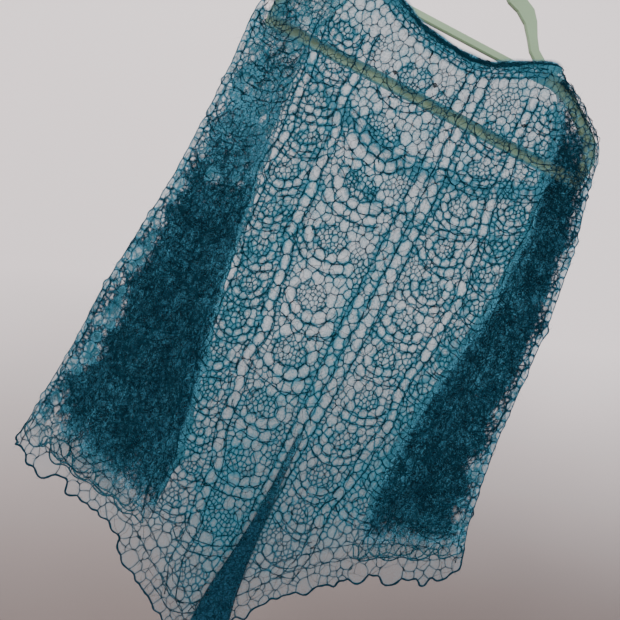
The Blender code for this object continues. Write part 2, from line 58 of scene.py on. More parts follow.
class Wire:
    """A socket of a material's tree. Arithmetic on it adds Math nodes, and node() adds any other."""

    def __init__(self, tree, socket):
        self.tree = tree
        self.socket = socket

    def node(self, kind, settings, values, out=0):
        """A node of this kind, its settings set first, then its sockets given values or links."""
        made = self.tree.nodes.new(kind)
        for key, value in settings.items():
            setattr(made, key, value)
        for key, value in values.items():
            if isinstance(value, Wire):
                self.tree.links.new(value.socket, made.inputs[key])
            else:
                made.inputs[key].default_value = value
        return Wire(self.tree, made.outputs[out])

    def maths(self, operation, a, b=0):
        """One Math node on two values."""
        return self.node("ShaderNodeMath", {"operation": operation}, {0: a, 1: b})

    def __add__(self, other):
        return self.maths("ADD", self, other)

    def __radd__(self, other):
        return self.maths("ADD", other, self)

    def __sub__(self, other):
        return self.maths("SUBTRACT", self, other)

    def __rsub__(self, other):
        return self.maths("SUBTRACT", other, self)

    def __mul__(self, other):
        return self.maths("MULTIPLY", self, other)

    def __rmul__(self, other):
        return self.maths("MULTIPLY", other, self)

    def __pow__(self, other):
        return self.maths("POWER", self, other)

    def clear(self, low, high):
        """The value moved from the range low to high onto 0 to 1, and kept there."""
        return self.node("ShaderNodeMapRange", {"clamp": True}, {"Value": self, "From Min": low, "From Max": high})

    def noise(self, scale, detail=2, rough=0.5):
        """Noise at this many features a metre, on the coordinates that this wire carries."""
        return self.node("ShaderNodeTexNoise", {}, {"Vector": self, "Scale": scale, "Detail": detail,
                                                    "Roughness": rough})

    def blend(self, first, second):
        """Colour from first to second as this value goes from 0 to 1."""
        return self.node("ShaderNodeMix", {"data_type": "RGBA"}, {"Factor": self, "A": first, "B": second}, 2)

    def feed(self, shader, key):
        """Links this value to the shader's input of that name."""
        self.tree.links.new(self.socket, shader.inputs[key])


def finish_of(name, constants):
    """A new material with one Principled shader, its constant sockets set, and a wire of Object coordinates."""
    material = bpy.data.materials.new(name)
    material.use_nodes = True
    tree = material.node_tree
    shader = tree.nodes["Principled BSDF"]
    for key, value in constants.items():
        shader.inputs[key].default_value = value
    coordinates = tree.nodes.new("ShaderNodeTexCoord")
    return material, shader, Wire(tree, coordinates.outputs["Object"])


SAGE = (0.176, 0.256, 0.154, 1)
SAGE_SHADE = (0.144, 0.214, 0.126, 1)
sage, shader, spot = finish_of("sage_plastic", {"Roughness": 0.4, "Coat Weight": 0, "IOR": 1.46})
cloudy = spot.noise(9, 3).clear(0.3, 0.7)
grain = spot.noise(2600, 2)
cloudy.blend(SAGE_SHADE, SAGE).feed(shader, "Base Color")
(0.36 + 0.16 * spot.noise(35, 4) + 0.05 * grain).feed(shader, "Roughness")
spot.node("ShaderNodeBump", {}, {"Strength": 0.12, "Distance": 0.0002, "Height": grain}).feed(shader, "Normal")
for name in ("hanger_arm_left", "hanger_arm_right", "hanger_bar", "hanger_rail", "hanger_hook"):
    node = frame["nodes"][name]
    node.data.materials.clear()
    node.data.materials.append(sage)


# The drape: the front of the shawl is one layer of lace before the hanger, with two soft swags between the
# shoulders and upright folds below. Both sides turn back over the hanger's ends along a fold.

MM = 0.001
HOOK_TOP = 262
FRONT_DEPTH = 9
FOLD_RADIUS = 8
FOLD_EDGE = 0.5
HIGH_SWAG = (-67, 45, 17, 146)
LOW_SWAG = (-128, 60, 40, 150)
# The rows of both sides, from the shoulder down: (x, z) of the fold, then (x, z) of the inner side of the wing.
RIGHT_SIDE = [(130, 99.5, 118, 104), (148.5, 91.5, 128, 92), (177, 72.5, 139, 74), (200, 53.5, 148, 52),
              (209.5, 27, 154, 25), (217, -10, 161, -12), (234.5, -79, 175, -76), (248.8, -182, 175, -182),
              (257.4, -296, 163, -292), (266, -359, 157, -357), (274.6, -408, 160, -423), (286, -445, 174, -508)]
LEFT_SIDE = [(-130, 99.5, -118, 104), (-148.5, 91.5, -126, 93), (-177, 73.5, -132, 78), (-202, 54, -139, 56),
             (-214, 31, -144, 32), (-222, 4, -146, 2), (-217.4, -67, -142, -67), (-215, -193, -120, -193),
             (-220, -279, -106, -279), (-226, -359, -87, -359), (-225.5, -422, -70, -424), (-228.8, -500, -54, -512),
             (-231.7, -559, -58, -584)]
HEM_LEFT = [(-231.7, -559), (-206, -570), (-176, -573.5), (-146, -582), (-111, -591), (-83, -598), (-58, -615),
            (-31, -635), (-8, -648), (14, -661), (33, -675), (48, -686)]
HEM_RIGHT = [(48, -686), (58, -672), (70, -650), (81, -627), (96, -608), (113, -588), (132, -563), (152, -545),
             (174, -524), (198, -507), (226, -494), (255, -483), (274, -467), (286, -445)]
NECK = [(-122, 104.6, 0), (-115, 105.2, -4), (-106, 101.6, -7.6), (-94, 96, -8.4), (-78, 87.5, -8.6), (-50, 75, -9),
        (-20, 68.5, -9.4), (14, 65.8, -9.6), (40, 68, -9.4), (66, 80, -9), (84, 90.5, -8.6), (96, 97, -8.4),
        (106, 101.6, -7.6), (115, 105.2, -4), (122, 104.6, 0)]


def hold(value):
    """The value, kept from 0 to 1."""
    return np.clip(value, 0, 1)


def columns(*parts):
    """The arrays side by side, each as a column."""
    return np.stack(parts, axis=1)


def long(rows):
    """Length of each row: the root of the sum of its squares."""
    return np.linalg.norm(rows, axis=1)


def unit(rows):
    """Each row over its own length."""
    return rows / np.maximum(long(rows), 1e-9)[:, None]


def lengths(line):
    """The run along the line up to each of its points."""
    return np.concatenate([[0], np.cumsum(long(np.diff(line, axis=0)))])


def through(rows, share):
    """Points on the smooth curve through the rows: for each share from 0 to 1, the cubic that passes through
    the two rows beside it with the slope of their neighbours."""
    rows = np.asarray(rows, float)
    place = hold(share) * (len(rows) - 1)
    i = np.minimum(place.astype(int), len(rows) - 2)
    f = (place - i)[..., None]
    a = rows[np.maximum(i - 1, 0)]
    b = rows[i]
    c = rows[i + 1]
    d = rows[np.minimum(i + 2, len(rows) - 1)]
    return 0.5 * (2 * b + (c - a) * f + (2 * a - 5 * b + 4 * c - d) * f**2 + (3 * b - a - 3 * c + d) * f**3)


def evenly(rows, step):
    """Points at an even spacing near step along the smooth curve through the rows."""
    fine = through(rows, np.linspace(0, 1, 801))
    runs = lengths(fine)
    goals = np.linspace(0, runs[-1], max(2, int(round(runs[-1] / step))) + 1)
    return np.stack([np.interp(goals, runs, part) for part in fine.T], axis=1)


def sideways(line, amount):
    """The line moved to its left by the amount, one value or one for each point."""
    ahead = unit(np.gradient(line[:, :2], axis=0))
    return line[:, :2] + columns(-ahead[:, 1], ahead[:, 0]) * np.reshape(amount, (-1, 1))


def between(rows, t, share):
    """Points of a side: t down its rows, at this share of the way from the fold to the inner side."""
    row = through(rows, t)
    return row[:, :2] + (row[:, 2:] - row[:, :2]) * np.reshape(share, (-1, 1))


def reach(line, points):
    """Distance from each point to the nearest part of the line."""
    a = line[:-1][None]
    run = np.diff(line, axis=0)[None]
    f = hold(((points[:, None] - a) * run).sum(2) / (run**2).sum(2))
    return np.linalg.norm(points[:, None] - a - f[..., None] * run, axis=2).min(1)


def within(loop, points):
    """True for each point inside the closed loop, by counting the edges to its right."""
    a = loop[None]
    b = np.roll(loop, -1, axis=0)[None]
    x = points[:, None, 0]
    z = points[:, None, 1]
    spans = (a[..., 1] > z) != (b[..., 1] > z)
    drop = np.where(b[..., 1] == a[..., 1], 1, b[..., 1] - a[..., 1])
    return (spans & (x < a[..., 0] + (z - a[..., 1]) / drop * (b[..., 0] - a[..., 0]))).sum(1) % 2 == 1


fold_left = evenly([row[:2] for row in LEFT_SIDE], 12)
fold_right = evenly([row[:2] for row in RIGHT_SIDE], 12)
FOLDS = ((fold_left, 1), (fold_right, -1))
hem_left = evenly(HEM_LEFT, 6)
hem_right = evenly(HEM_RIGHT, 6)
hems = np.concatenate([hem_left, hem_right[1:]])
neck = evenly(NECK, 6)
whole = np.concatenate([fold_left[::-1], neck[3:-3, :2], fold_right, hem_right[-2:0:-1], hem_left[:0:-1]])


def ease(share):
    """Quarter-round profile: 1 less the square of what is missing, from 0 at a fold's edge to 1."""
    return 1 - (1 - hold(share)) ** 2


def bell(share, power=2):
    """1 where the share is 0, falling on both sides as e to minus its power."""
    return np.exp(-(share**power))


def swag_line(x, curve):
    """Height of a hanging curve: its lowest level, and its bend by the square of the distance from its middle."""
    level, bend, middle, wide = curve
    return level + bend * ((x - middle) / wide) ** 2


def upright_wave(x, z, phase):
    """Sine wave across the cloth, one for each upright fold, that sways a little on its way down."""
    return np.sin(2 * np.pi * (x - 48) / 124 + 0.5 * np.sin(z / 110) + phase)


def drape(x, z):
    """Depth of the front layer: a bell-shaped ridge along each of two hanging curves, and upright sine folds
    that deepen towards the hem."""
    swag = 4.5 * bell((z - swag_line(x, HIGH_SWAG)) / 15) + 2.5 * bell((z - swag_line(x, LOW_SWAG)) / 18)
    grow = hold((-z - 60) / 420)
    wave = upright_wave(x, z, 0.9)
    fine = np.sin(2 * np.pi * (x + 0.12 * z) / 57)
    return -FRONT_DEPTH - swag - grow * (3.2 + 3.2 * wave + fine)


def from_folds(flat):
    """Distance from each place to the nearer fold."""
    return np.minimum(reach(fold_left, flat), reach(fold_right, flat))


def front(flat):
    """Points of the front layer over flat (x, z): the drape's depth, turned back to the edge at both folds."""
    near = from_folds(flat)
    inside = within(whole, flat) | (near > 6.5)
    turn = ease(np.where(inside, near, 0) / FOLD_RADIUS)
    x, z = flat.T
    return columns(x, -FOLD_EDGE + (drape(x, z) + FOLD_EDGE) * turn, z)


def facing(place, flat):
    """Unit normals of a placed cloth on its outer side, from the cross product of two small steps."""
    right, up = np.array([[0.5, 0], [0, 0.5]])
    return unit(np.cross(place(flat + right) - place(flat - right), place(flat + up) - place(flat - up)))


def put_mesh(name, points, faces, material, marks=None):
    """A mesh object from points in millimetres and a list of face arrays, each of one corner count."""
    mesh = bpy.data.meshes.new(name)
    places = np.array(points, float)
    places[:, 2] -= HOOK_TOP
    corners = np.concatenate([f.ravel() for f in faces])
    sizes = np.concatenate([np.full(len(f), f.shape[1]) for f in faces])
    mesh.vertices.add(len(places))
    mesh.vertices.foreach_set("co", (places * MM).ravel())
    mesh.loops.add(len(corners))
    mesh.loops.foreach_set("vertex_index", corners)
    mesh.polygons.add(len(sizes))
    mesh.polygons.foreach_set("loop_start", np.cumsum(sizes) - sizes)
    mesh.polygons.foreach_set("use_smooth", np.ones(len(sizes), bool))
    mesh.update(calc_edges=True)
    for key, values in (marks or {}).items():
        mesh.attributes.new(key, "FLOAT", "POINT").data.foreach_set("value", values)
    mesh.materials.append(material)
    thing = bpy.data.objects.new(name, mesh)
    bpy.context.scene.collection.objects.link(thing)
    return thing


# The lace: knitted in fine mohair from the spine outwards, in columns of round clusters of small stitches with
# two arcs of large eyelets under each, parted by ladders of tall eyelets. Each gap is a cell between its
# threads; the ridges are rows where two or three yarns lie together.

# Height, then x of the spine's left ridge, its middle and its right ridge.
SPINE_LINES = [(62, 31, 43, 56), (-22, 29, 43, 58), (-113, 32, 48.5, 65), (-193, 34, 51.5, 68), (-279, 35, 51.5, 68),
               (-365, 39, 52.5, 66), (-450, 43, 53.5, 64), (-508, 44, 54, 64), (-560, 41, 54.5, 68)]
# Ladders of tall eyelets: (x, z) along each, and half its width.
RIBS = [
    ([(-86, 40), (-80, -45), (-74, -113), (-62, -193), (-50, -280), (-36, -370), (-20, -470), (-4, -560),
      (8, -630)], 6.2),
    ([(108, 60), (114, -10), (127, -90), (135, -180), (137, -260), (132, -365), (124, -470), (116, -550)], 5.8),
    ([(-140, 30), (-132, -50), (-123, -136), (-110, -250), (-94, -365), (-73, -479), (-56, -560)], 5.4),
    ([(168, 20), (178, -80), (188, -200), (190, -320), (184, -430), (180, -480)], 5.4),
]
# Columns of clusters: (x, z) along each, its scale, and the height of its first cluster.
COLUMNS = [
    ([(-24, 30), (-22, -100), (-10, -250), (2, -400), (16, -540), (24, -620)], 1, 18),
    ([(84, 40), (94, -90), (101, -200), (101, -300), (96, -450), (92, -550)], 0.70, 4),
    ([(-112, 30), (-103, -100), (-88, -230), (-70, -360), (-46, -490), (-32, -570)], 0.62, 24),
    ([(-182, 30), (-172, -150), (-164, -300), (-150, -450), (-144, -520)], 0.85, 8),
    ([(142, 70), (150, -60), (160, -180), (162, -330), (154, -480)], 0.55, 50),
    ([(206, 30), (215, -150), (224, -300), (226, -440)], 0.62, 20),
]
PITCH = 69
STRETCH = 0.78
LADDER_STEP = 18
HEM_LOOP = 34
FOLD_LOOP = 13.5
LACE_RIDGE = 0.50
EDGE_RIDGE = 0.40
rng = np.random.default_rng(11)
seeds, radii, ridges, fine_spots = [], [], [], []


def add_seeds(points, radius):
    """Puts cells of this radius at the points."""
    seeds.append(np.asarray(points, float))
    radii.append(np.broadcast_to(radius, len(points)).astype(float))


def arc_of(x, z, radius, start, stop, count):
    """Points on an arc round (x, z), flattened a little, angles in degrees."""
    a = np.radians(np.linspace(start, stop, count))
    return columns(x + radius * np.cos(a), z + 0.84 * radius * np.sin(a))


def loose(points, amount):
    """The points, each moved by a random step of about the amount."""
    return points + rng.normal(0, amount, np.shape(points))


def ridge(line, width, beside=0):
    """A ridge along the line, with a row of small cells on its left or right, or on neither for 0."""
    ridges.append((line, width))
    if beside:
        base = evenly(line, 5.5)
        add_seeds(loose(sideways(base, beside * 2.7), 0.7), rng.uniform(1.6, 2.6, len(base)))


def warped(flat):
    """Flat points moved by a few slow waves across and along, as knitting hangs out of true."""
    x, z = np.asarray(flat, float).T
    return columns(x + 3.2 * np.sin(z / 29 + x / 71) + 2 * np.sin(z / 13 - x / 37),
                   z + 3.4 * np.sin(x / 24 + z / 83) + 2.1 * np.sin(x / 11 + z / 41))


for line in (hem_left, hem_right):
    number = int(round(lengths(line)[-1] / HEM_LOOP))
    cuts = np.arange(number + 1.0)
    cuts[1:-1] += rng.uniform(-0.2, 0.2, number - 1)
    ends = through(line, cuts / number)
    middle = through(line, (cuts[1:] + cuts[:-1]) / 2 / number)
    ahead = ends[1:] - ends[:-1]
    half = long(ahead) / 2
    ahead /= 2 * half[:, None]
    out = columns(ahead[:, 1], -ahead[:, 0])
    swell = rng.uniform(0.75, 1.2, (number, 1))
    for aim in (-74, -40, 0, 40, 74):
        a = math.radians(aim)
        add_seeds(middle + 1.42 * half[:, None] * math.sin(a) * ahead + 15 * swell * math.cos(a) * out, 3.4)
    big = (rng.uniform(size=number) < 0.35) | (np.abs(middle[:, 0]) > 170)
    add_seeds(middle[big] - 5 * out[big], 0.62 * half[big])
    for share in (-0.62, 0.02, 0.6):
        spot = middle + share * half[:, None] * ahead - rng.uniform(2, 5.5, (number, 1)) * out
        add_seeds(spot[~big], 0.36 * half[~big])
    for amount in (23, 38):
        ridge(loose(sideways(line, amount)[6:-6], 0.5), EDGE_RIDGE)
    add_seeds(loose(sideways(evenly(line, 13.5), 16.5), 1.5), 5.2)
    add_seeds(loose(sideways(evenly(line, 14), 30.5), 1.5), 6)
gap_spots = []
for line, inward in FOLDS:
    base = evenly(line, FOLD_LOOP)
    gap_spots.append(loose(sideways(base, inward * 5.2), 1.4))
    add_seeds(sideways(base, inward * -rng.uniform(7, 9.5, len(base))), 3.4)
    add_seeds(sideways(base[:-1] * 0.5 + base[1:] * 0.5, inward * -2.2), 2.6)
    ridge(loose(sideways(evenly(line, 3), inward * 9.5), 0.4), EDGE_RIDGE, inward)
for way in (-1, 1):
    add_seeds([(way * 112, 110.5), (way * 118, 110.5), (way * 124.5, 108), (way * 131, 104.5)], 3.2)
for amount, step, radius in ((3, 5.4, 2.7), (-3, 5.4, 2.7), (-7.4, 7, 2.4), (-12.4, 8, 3.2), (-21, 10.5, 5.2)):
    add_seeds(sideways(evenly(neck[3:-3], step), amount), radius)
for amount in (-5.4, -9.6, -15.6):
    ridge(sideways(evenly(neck[3:-3], 3), amount), 0.42)

for curve, shift in ((HIGH_SWAG, 3), (HIGH_SWAG, -6), (LOW_SWAG, 0), (LOW_SWAG, -8)):
    x = np.linspace(curve[2] - 0.62 * curve[3], curve[2] + 0.86 * curve[3], 60)
    ridge(loose(columns(x, swag_line(x, curve) + shift), 0.4), 0.34)

for column, width, beside in ((1, 0.50, -1), (2, 0.75, 0), (3, 0.50, 1)):
    ridge(evenly([(row[column], row[0]) for row in SPINE_LINES], 3), width, beside)
spine_middle = evenly([(row[2], row[0]) for row in SPINE_LINES], LADDER_STEP)
spine_half = np.interp(-spine_middle[:, 1], [-row[0] for row in SPINE_LINES],
                       [(row[3] - row[1]) / 2 for row in SPINE_LINES])
for shift, way in ((0, -0.5), (LADDER_STEP / 2, 0.5)):
    spot = sideways(spine_middle + [0, shift], way * spine_half)[:-3]
    add_seeds(loose(spot, 1.5), rng.uniform(4.6, 7, len(spot)))
for rib, half in RIBS:
    spot = warped(evenly(rib, LADDER_STEP))
    spot = spot[rng.uniform(size=len(spot)) > 0.12]
    add_seeds(loose(spot, 1.7), half * rng.uniform(0.74, 1.18, len(spot)))
    middle = evenly(rib, 3)
    for way in (-1, 1):
        ridge(warped(sideways(middle, way * (half + 0.3))), LACE_RIDGE, way)
for path, scale, start in COLUMNS:
    line = np.asarray(path)
    z = start
    k = 0
    while z > line[-1, 1]:
        x = np.interp(-z, -line[:, 1], line[:, 0]) + rng.uniform(-2.5, 2.5) * scale
        tilt = rng.uniform(-9, 9)
        size = scale * rng.uniform(0.92, 1.06)
        for radius, middle, wide, count, least in ((28, -90, 62, 5, 5.2), (43.5, -90, 38, 4 + k % 2, 5),
                                                   (25, 90, 78, 5, 4)):
            spot = warped(arc_of(x, z, radius * size, tilt + middle - wide, tilt + middle + wide, count))
            add_seeds(loose(spot, 0.7), (least * size + 1.5) * rng.uniform(0.82, 1.15, count))
        for radius, wide, count in ((35.5, 76, 30), (51, 52, 30)):
            ridge(warped(arc_of(x, z, radius * size, tilt - 90 - wide, tilt - 90 + wide, count)), LACE_RIDGE)
        ridge(warped(arc_of(x, z, 20 * size, tilt - 250, tilt + 60, 40)), 0.36)
        if k % 3 != 1:
            add_seeds(loose(np.array([(x, z)]), 2), 3.4 * size + 0.6)
        turn = np.radians(rng.uniform(0, 360, 90))
        away = np.sqrt(rng.uniform(0, 1, 90)) * 18.5 * size
        fine_spots.append(warped(columns(x + away * np.cos(turn), z + away * np.sin(turn))))
        z -= PITCH * scale
        k += 1


CHART = (440, 300)
CHART_TOP = 130
CHART_LEFT = -260
SQUARE = 2


def chart_of(x, z):
    """Row and column of the places in the charts of the front: how many squares they lie below the top and to
    the right of the left side."""
    row = np.clip(((CHART_TOP - z) / SQUARE).astype(int), 0, CHART[0] - 1)
    return row, np.clip(((x - CHART_LEFT) / SQUARE).astype(int), 0, CHART[1] - 1)


def blurred(chart, axes, share):
    """The chart with each square added to its two neighbours and divided by the share, along each axis in turn."""
    for axis in axes:
        chart = (np.roll(chart, 1, axis) + np.roll(chart, -1, axis) + chart) / share
    return chart


fine_map = np.zeros(CHART, bool)
row, column = chart_of(*np.concatenate(fine_spots).T)
for step_x in (-1, 0, 1):
    for step_z in (-1, 0, 1):
        fine_map[row + step_z, column + step_x] = True
ridge_map = np.zeros(CHART)
for line, width in ridges:
    ridge_map[chart_of(*evenly(line, 1.5).T)] = 0.8 + width
ridge_map = blurred(ridge_map, (0, 1), 2)
fog_map = blurred(fine_map.astype(float), (0, 1, 0, 1), 3)

for rows, number, low in ((LEFT_SIDE, 110, 0.60), (RIGHT_SIDE, 30, 0.26)):
    t = rng.uniform(0.06, 1, number)
    across = rng.uniform(0.1, 0.95, number)
    gap_spots.append(between(rows, t, np.where(t > low, 0.07 + 0.14 * across, across)))
fold_holes = len(gap_spots[0]) + len(gap_spots[1])
gap_spots = np.concatenate(gap_spots)
FOLD_HOLE = 5.6
FOLD_CLEAR = 3.9
gap_size = rng.uniform(3.2, 6.8, len(gap_spots))
gap_reach = gap_size.copy()
gap_size[:fold_holes] = FOLD_HOLE
gap_reach[:fold_holes] = FOLD_CLEAR


def gaps(flat):
    """How open the doubled cloth is at each place: 1 in the middle of one of its scattered tall gaps, falling
    to 0 outside them."""
    wide = (flat[:, None, 0] - gap_spots[None, :, 0]) / gap_reach
    tall = (flat[:, None, 1] - gap_spots[None, :, 1]) / (1.3 * gap_reach)
    return bell((wide**2 + tall**2).min(1))


def hem_at(x):
    """Height of the hem at each x."""
    return np.interp(x, hems[:, 0], hems[:, 1])


def patches(flat, a, b, c, d):
    """Two crossing sine waves, each bent by a slower one, that add up in scattered patches. Each wave turns by
    one radian in a to d millimetres."""
    x, z = flat.T
    return np.sin(x / a + 2 * np.sin(z / b)) + np.sin(z / c + 1.7 * np.sin(x / d))


def front_grain(flat):
    """Radius of the cells of the front at each place: small in and beside clusters and ridges and in scattered
    patches where slow waves add up, larger elsewhere and largest above the hem."""
    x, z = flat.T
    small = fine_map[chart_of(x, z)] | (patches(flat, 13, 31, 17, 23) > 1.25)
    radius = np.where(small, rng.uniform(1.5, 2.7, len(x)), 2.8 + 3.8 * rng.uniform(0, 1, len(x)))
    return np.where(z < hem_at(x) + 58, np.maximum(radius, rng.uniform(2.4, 6.5, len(x))), radius)


SEED_SPACE = 0.78
SOWN_SPACE = 0.92
AT_ONCE = 1200


def sown(points, sizes, loop, grain, rounds, batch):
    """The cells so far, thinned where two overlap, and further cells thrown at random into the loop wherever
    they keep clear of the rest: each pair lies about the sum of its radii apart in a plane pressed down by
    STRETCH, so cells hang longer than they are wide."""
    kept, held = np.zeros((0, 2)), np.zeros(0)
    queue = [(points, sizes)]
    for k in range(rounds):
        spots = rng.uniform(loop.min(0) - 6, loop.max(0) + 6, (batch, 2))
        queue.append((spots, grain(spots) * (1 - 0.22 * k / rounds)))
    for k, (spots, room) in enumerate(queue):
        space = SOWN_SPACE if k else SEED_SPACE
        spots = spots * [1, STRETCH]
        for first in range(0, len(spots), AT_ONCE):
            spot, size = spots[first:first + AT_ONCE], room[first:first + AT_ONCE]
            if len(kept):
                gap = (spot[:, None, 0] - kept[None, :, 0]) ** 2 + (spot[:, None, 1] - kept[None, :, 1]) ** 2
                clear = (gap > (space * (size[:, None] + held[None])) ** 2).all(1)
                spot, size = spot[clear], size[clear]
            gap = np.hypot(*(spot[:, None] - spot[None]).transpose(2, 0, 1))
            clash = (gap < space * (size[:, None] + size[None])) & np.tri(len(spot), k=-1, dtype=bool)
            clear = ~clash.any(1)
            kept, held = np.concatenate([kept, spot[clear]]), np.concatenate([held, size[clear]])
    return kept, held


def added(index, rows, count):
    """Sum of the rows that share an index, for each of so many indices."""
    return np.stack([np.bincount(index, part, count) for part in rows.T], axis=1)


def cells(points, sizes, keep, thread, knot):
    """The net of threads between cells. The cells' points are joined to triangles; each triangle's meeting
    point lies where its three cells' circles have equal power; and two triangles that share a side are joined by
    a thread, cut in two or three where it is long. Each cell then gets a ring of its own just inside its threads,
    wider at the knots by a share of its size. Returns flat places, and for every stretch its cell, its ends and
    the next stretch round the cell."""
    corners, _, faces, origin, _, _ = delaunay_2d_cdt([Vector(p) for p in points.tolist()], [], [], 0, 1e-6)
    spots = np.array([tuple(c) for c in corners])
    source = np.array([o[0] for o in origin])
    weight = sizes[source] ** 2
    keep = keep[source]
    tri = np.array(faces)
    a, b, c = spots[tri.T]
    turned = (b[:, 0] - a[:, 0]) * (c[:, 1] - a[:, 1]) - (b[:, 1] - a[:, 1]) * (c[:, 0] - a[:, 0]) < 0
    tri[turned] = tri[turned][:, ::-1]
    a, b, c = spots[tri.T]
    u, v = 2 * (b - a), 2 * (c - a)
    p = (b**2).sum(1) - (a**2).sum(1) - weight[tri[:, 1]] + weight[tri[:, 0]]
    q = (c**2).sum(1) - (a**2).sum(1) - weight[tri[:, 2]] + weight[tri[:, 0]]
    det = u[:, 0] * v[:, 1] - u[:, 1] * v[:, 0]
    power = columns((p * v[:, 1] - q * u[:, 1]) / det, (u[:, 0] * q - v[:, 0] * p) / det)
    middle = (a + b + c) / 3
    lean = power - middle
    limit = 0.62 * np.sqrt(np.abs(det) / 4)
    meet = (middle + lean * np.minimum(1, limit / np.maximum(long(lean), 1e-9))[:, None]) / [1, STRETCH]

    count = len(spots)
    start = tri.ravel()
    stop = np.roll(tri, -1, axis=1).ravel()
    owner = np.repeat(np.arange(len(tri)), 3)
    key = start * count + stop
    order = np.argsort(key)
    place = np.minimum(np.searchsorted(key[order], stop * count + start), len(order) - 1)
    twin = order[place]
    one = np.nonzero((key[twin] == stop * count + start) & (start < stop))[0]
    two = twin[one]
    tail, head = owner[two], owner[one]
    left, right = start[one], stop[one]
    live = keep[left] | keep[right]
    tail, head, left, right = tail[live], head[live], left[live], right[live]

    run = meet[head] - meet[tail]
    length = long(run)
    across = columns(-run[:, 1], run[:, 0])
    parts = np.where(length < 3.7, 1, np.where(length < 9, 2, 3))
    places = [meet]
    plain = [np.zeros(len(meet), bool)]
    next_id = len(meet)
    stretches = []
    for number in (1, 2, 3):
        pick = parts == number
        chain = [tail[pick]]
        bow = rng.uniform(-0.13, 0.13, pick.sum())
        for k in range(1, number):
            share = k / number + rng.uniform(-0.05, 0.05, pick.sum())
            places.append(meet[tail[pick]] + run[pick] * share[:, None] + across[pick] * bow[:, None])
            plain.append(np.ones(pick.sum(), bool))
            chain.append(next_id + np.arange(pick.sum()))
            next_id += pick.sum()
        chain.append(head[pick])
        for k in range(number):
            stretches.append(columns(left[pick], chain[k], chain[k + 1], right[pick]))
            stretches.append(columns(right[pick], chain[k + 1], chain[k], left[pick]))
    places = np.concatenate(places)
    plain = np.concatenate(plain)
    rows = np.concatenate(stretches)
    rows = rows[keep[rows[:, 0]]]
    cell, begin, end, beyond = rows.T
    edge = ~keep[beyond]
    total = len(places)
    rim = np.zeros(total, bool)
    rim[begin[edge]] = True
    for _ in range(3):
        near = (added(begin[edge], places[end[edge]], total) + added(end[edge], places[begin[edge]], total)) / 2
        places = np.where(rim[:, None], 0.5 * places + 0.5 * near, places)
    key = cell * total + begin
    order = np.argsort(key)
    find = np.searchsorted(key[order], cell * total + end)
    follow = order[np.minimum(find, len(order) - 1)]

    tally = np.maximum(np.bincount(cell, minlength=count), 1)
    centre = added(cell, places[begin], count) / tally[:, None]
    inward = centre[cell] - places[begin]
    room = long(inward)
    size = np.bincount(cell, room, count) / tally
    weight = rng.uniform(0.5, 1.6, total)
    width = np.where(plain[begin], thread, 1.3 * thread + knot * size[cell]) * weight[begin]
    ring = places[begin] + inward / room[:, None] * np.minimum(width, 0.40 * room)[:, None]
    return SimpleNamespace(places=places, cell=cell, begin=begin, end=end, follow=follow, ring=ring, edge=edge,
                           centre=centre, size=size)


def knitted(points, sizes, loop, grain, rounds, batch, thread, knot, clear=0):
    """The net over a loop: cells sown from the points and kept inside it, farther than clear from its line."""
    points, sizes = sown(np.concatenate(points), np.concatenate(sizes), loop, grain, rounds, batch)
    flat = points / [1, STRETCH]
    keep = within(loop, flat)
    if clear:
        keep &= reach(loop, flat) > clear
    return cells(points, sizes, keep, thread, knot)


def picked(net, pick):
    """The picked stretches of a net: their rows, the places they use, and the two ends of each among these."""
    rows = np.nonzero(pick)[0]
    used, index = np.unique(np.concatenate([net.begin[rows], net.end[rows]]), return_inverse=True)
    return rows, used, index[:len(rows)], index[len(rows):]


def yarn_mesh(name, net, place, pick, height, material):
    """The threads as a closed mesh: along each thread a line in front and one behind, height before and
    behind the cloth, and each cell's ring between them, so a thread's section is a flat rhomb."""
    rows, used, begin, end = picked(net, pick[net.cell])
    middle = place(net.places[used])
    lift = facing(place, net.places[used]) * height
    count = len(used)
    ring = 2 * count + np.arange(len(rows))
    after = 2 * count + np.searchsorted(rows, net.follow[rows])
    points = np.concatenate([middle + lift, middle - lift, place(net.ring[rows])])
    front_faces = columns(begin, end, after, ring)
    back_faces = columns(end + count, begin + count, ring, after)
    total = len(net.places)
    own = net.begin[rows] * total + net.end[rows]
    rim = ~np.isin(own, net.end[rows] * total + net.begin[rows])
    side_faces = columns(end, begin, begin + count, end + count)[rim]
    return put_mesh(name, points, [front_faces, back_faces, side_faces], material)


MIST = 3.4


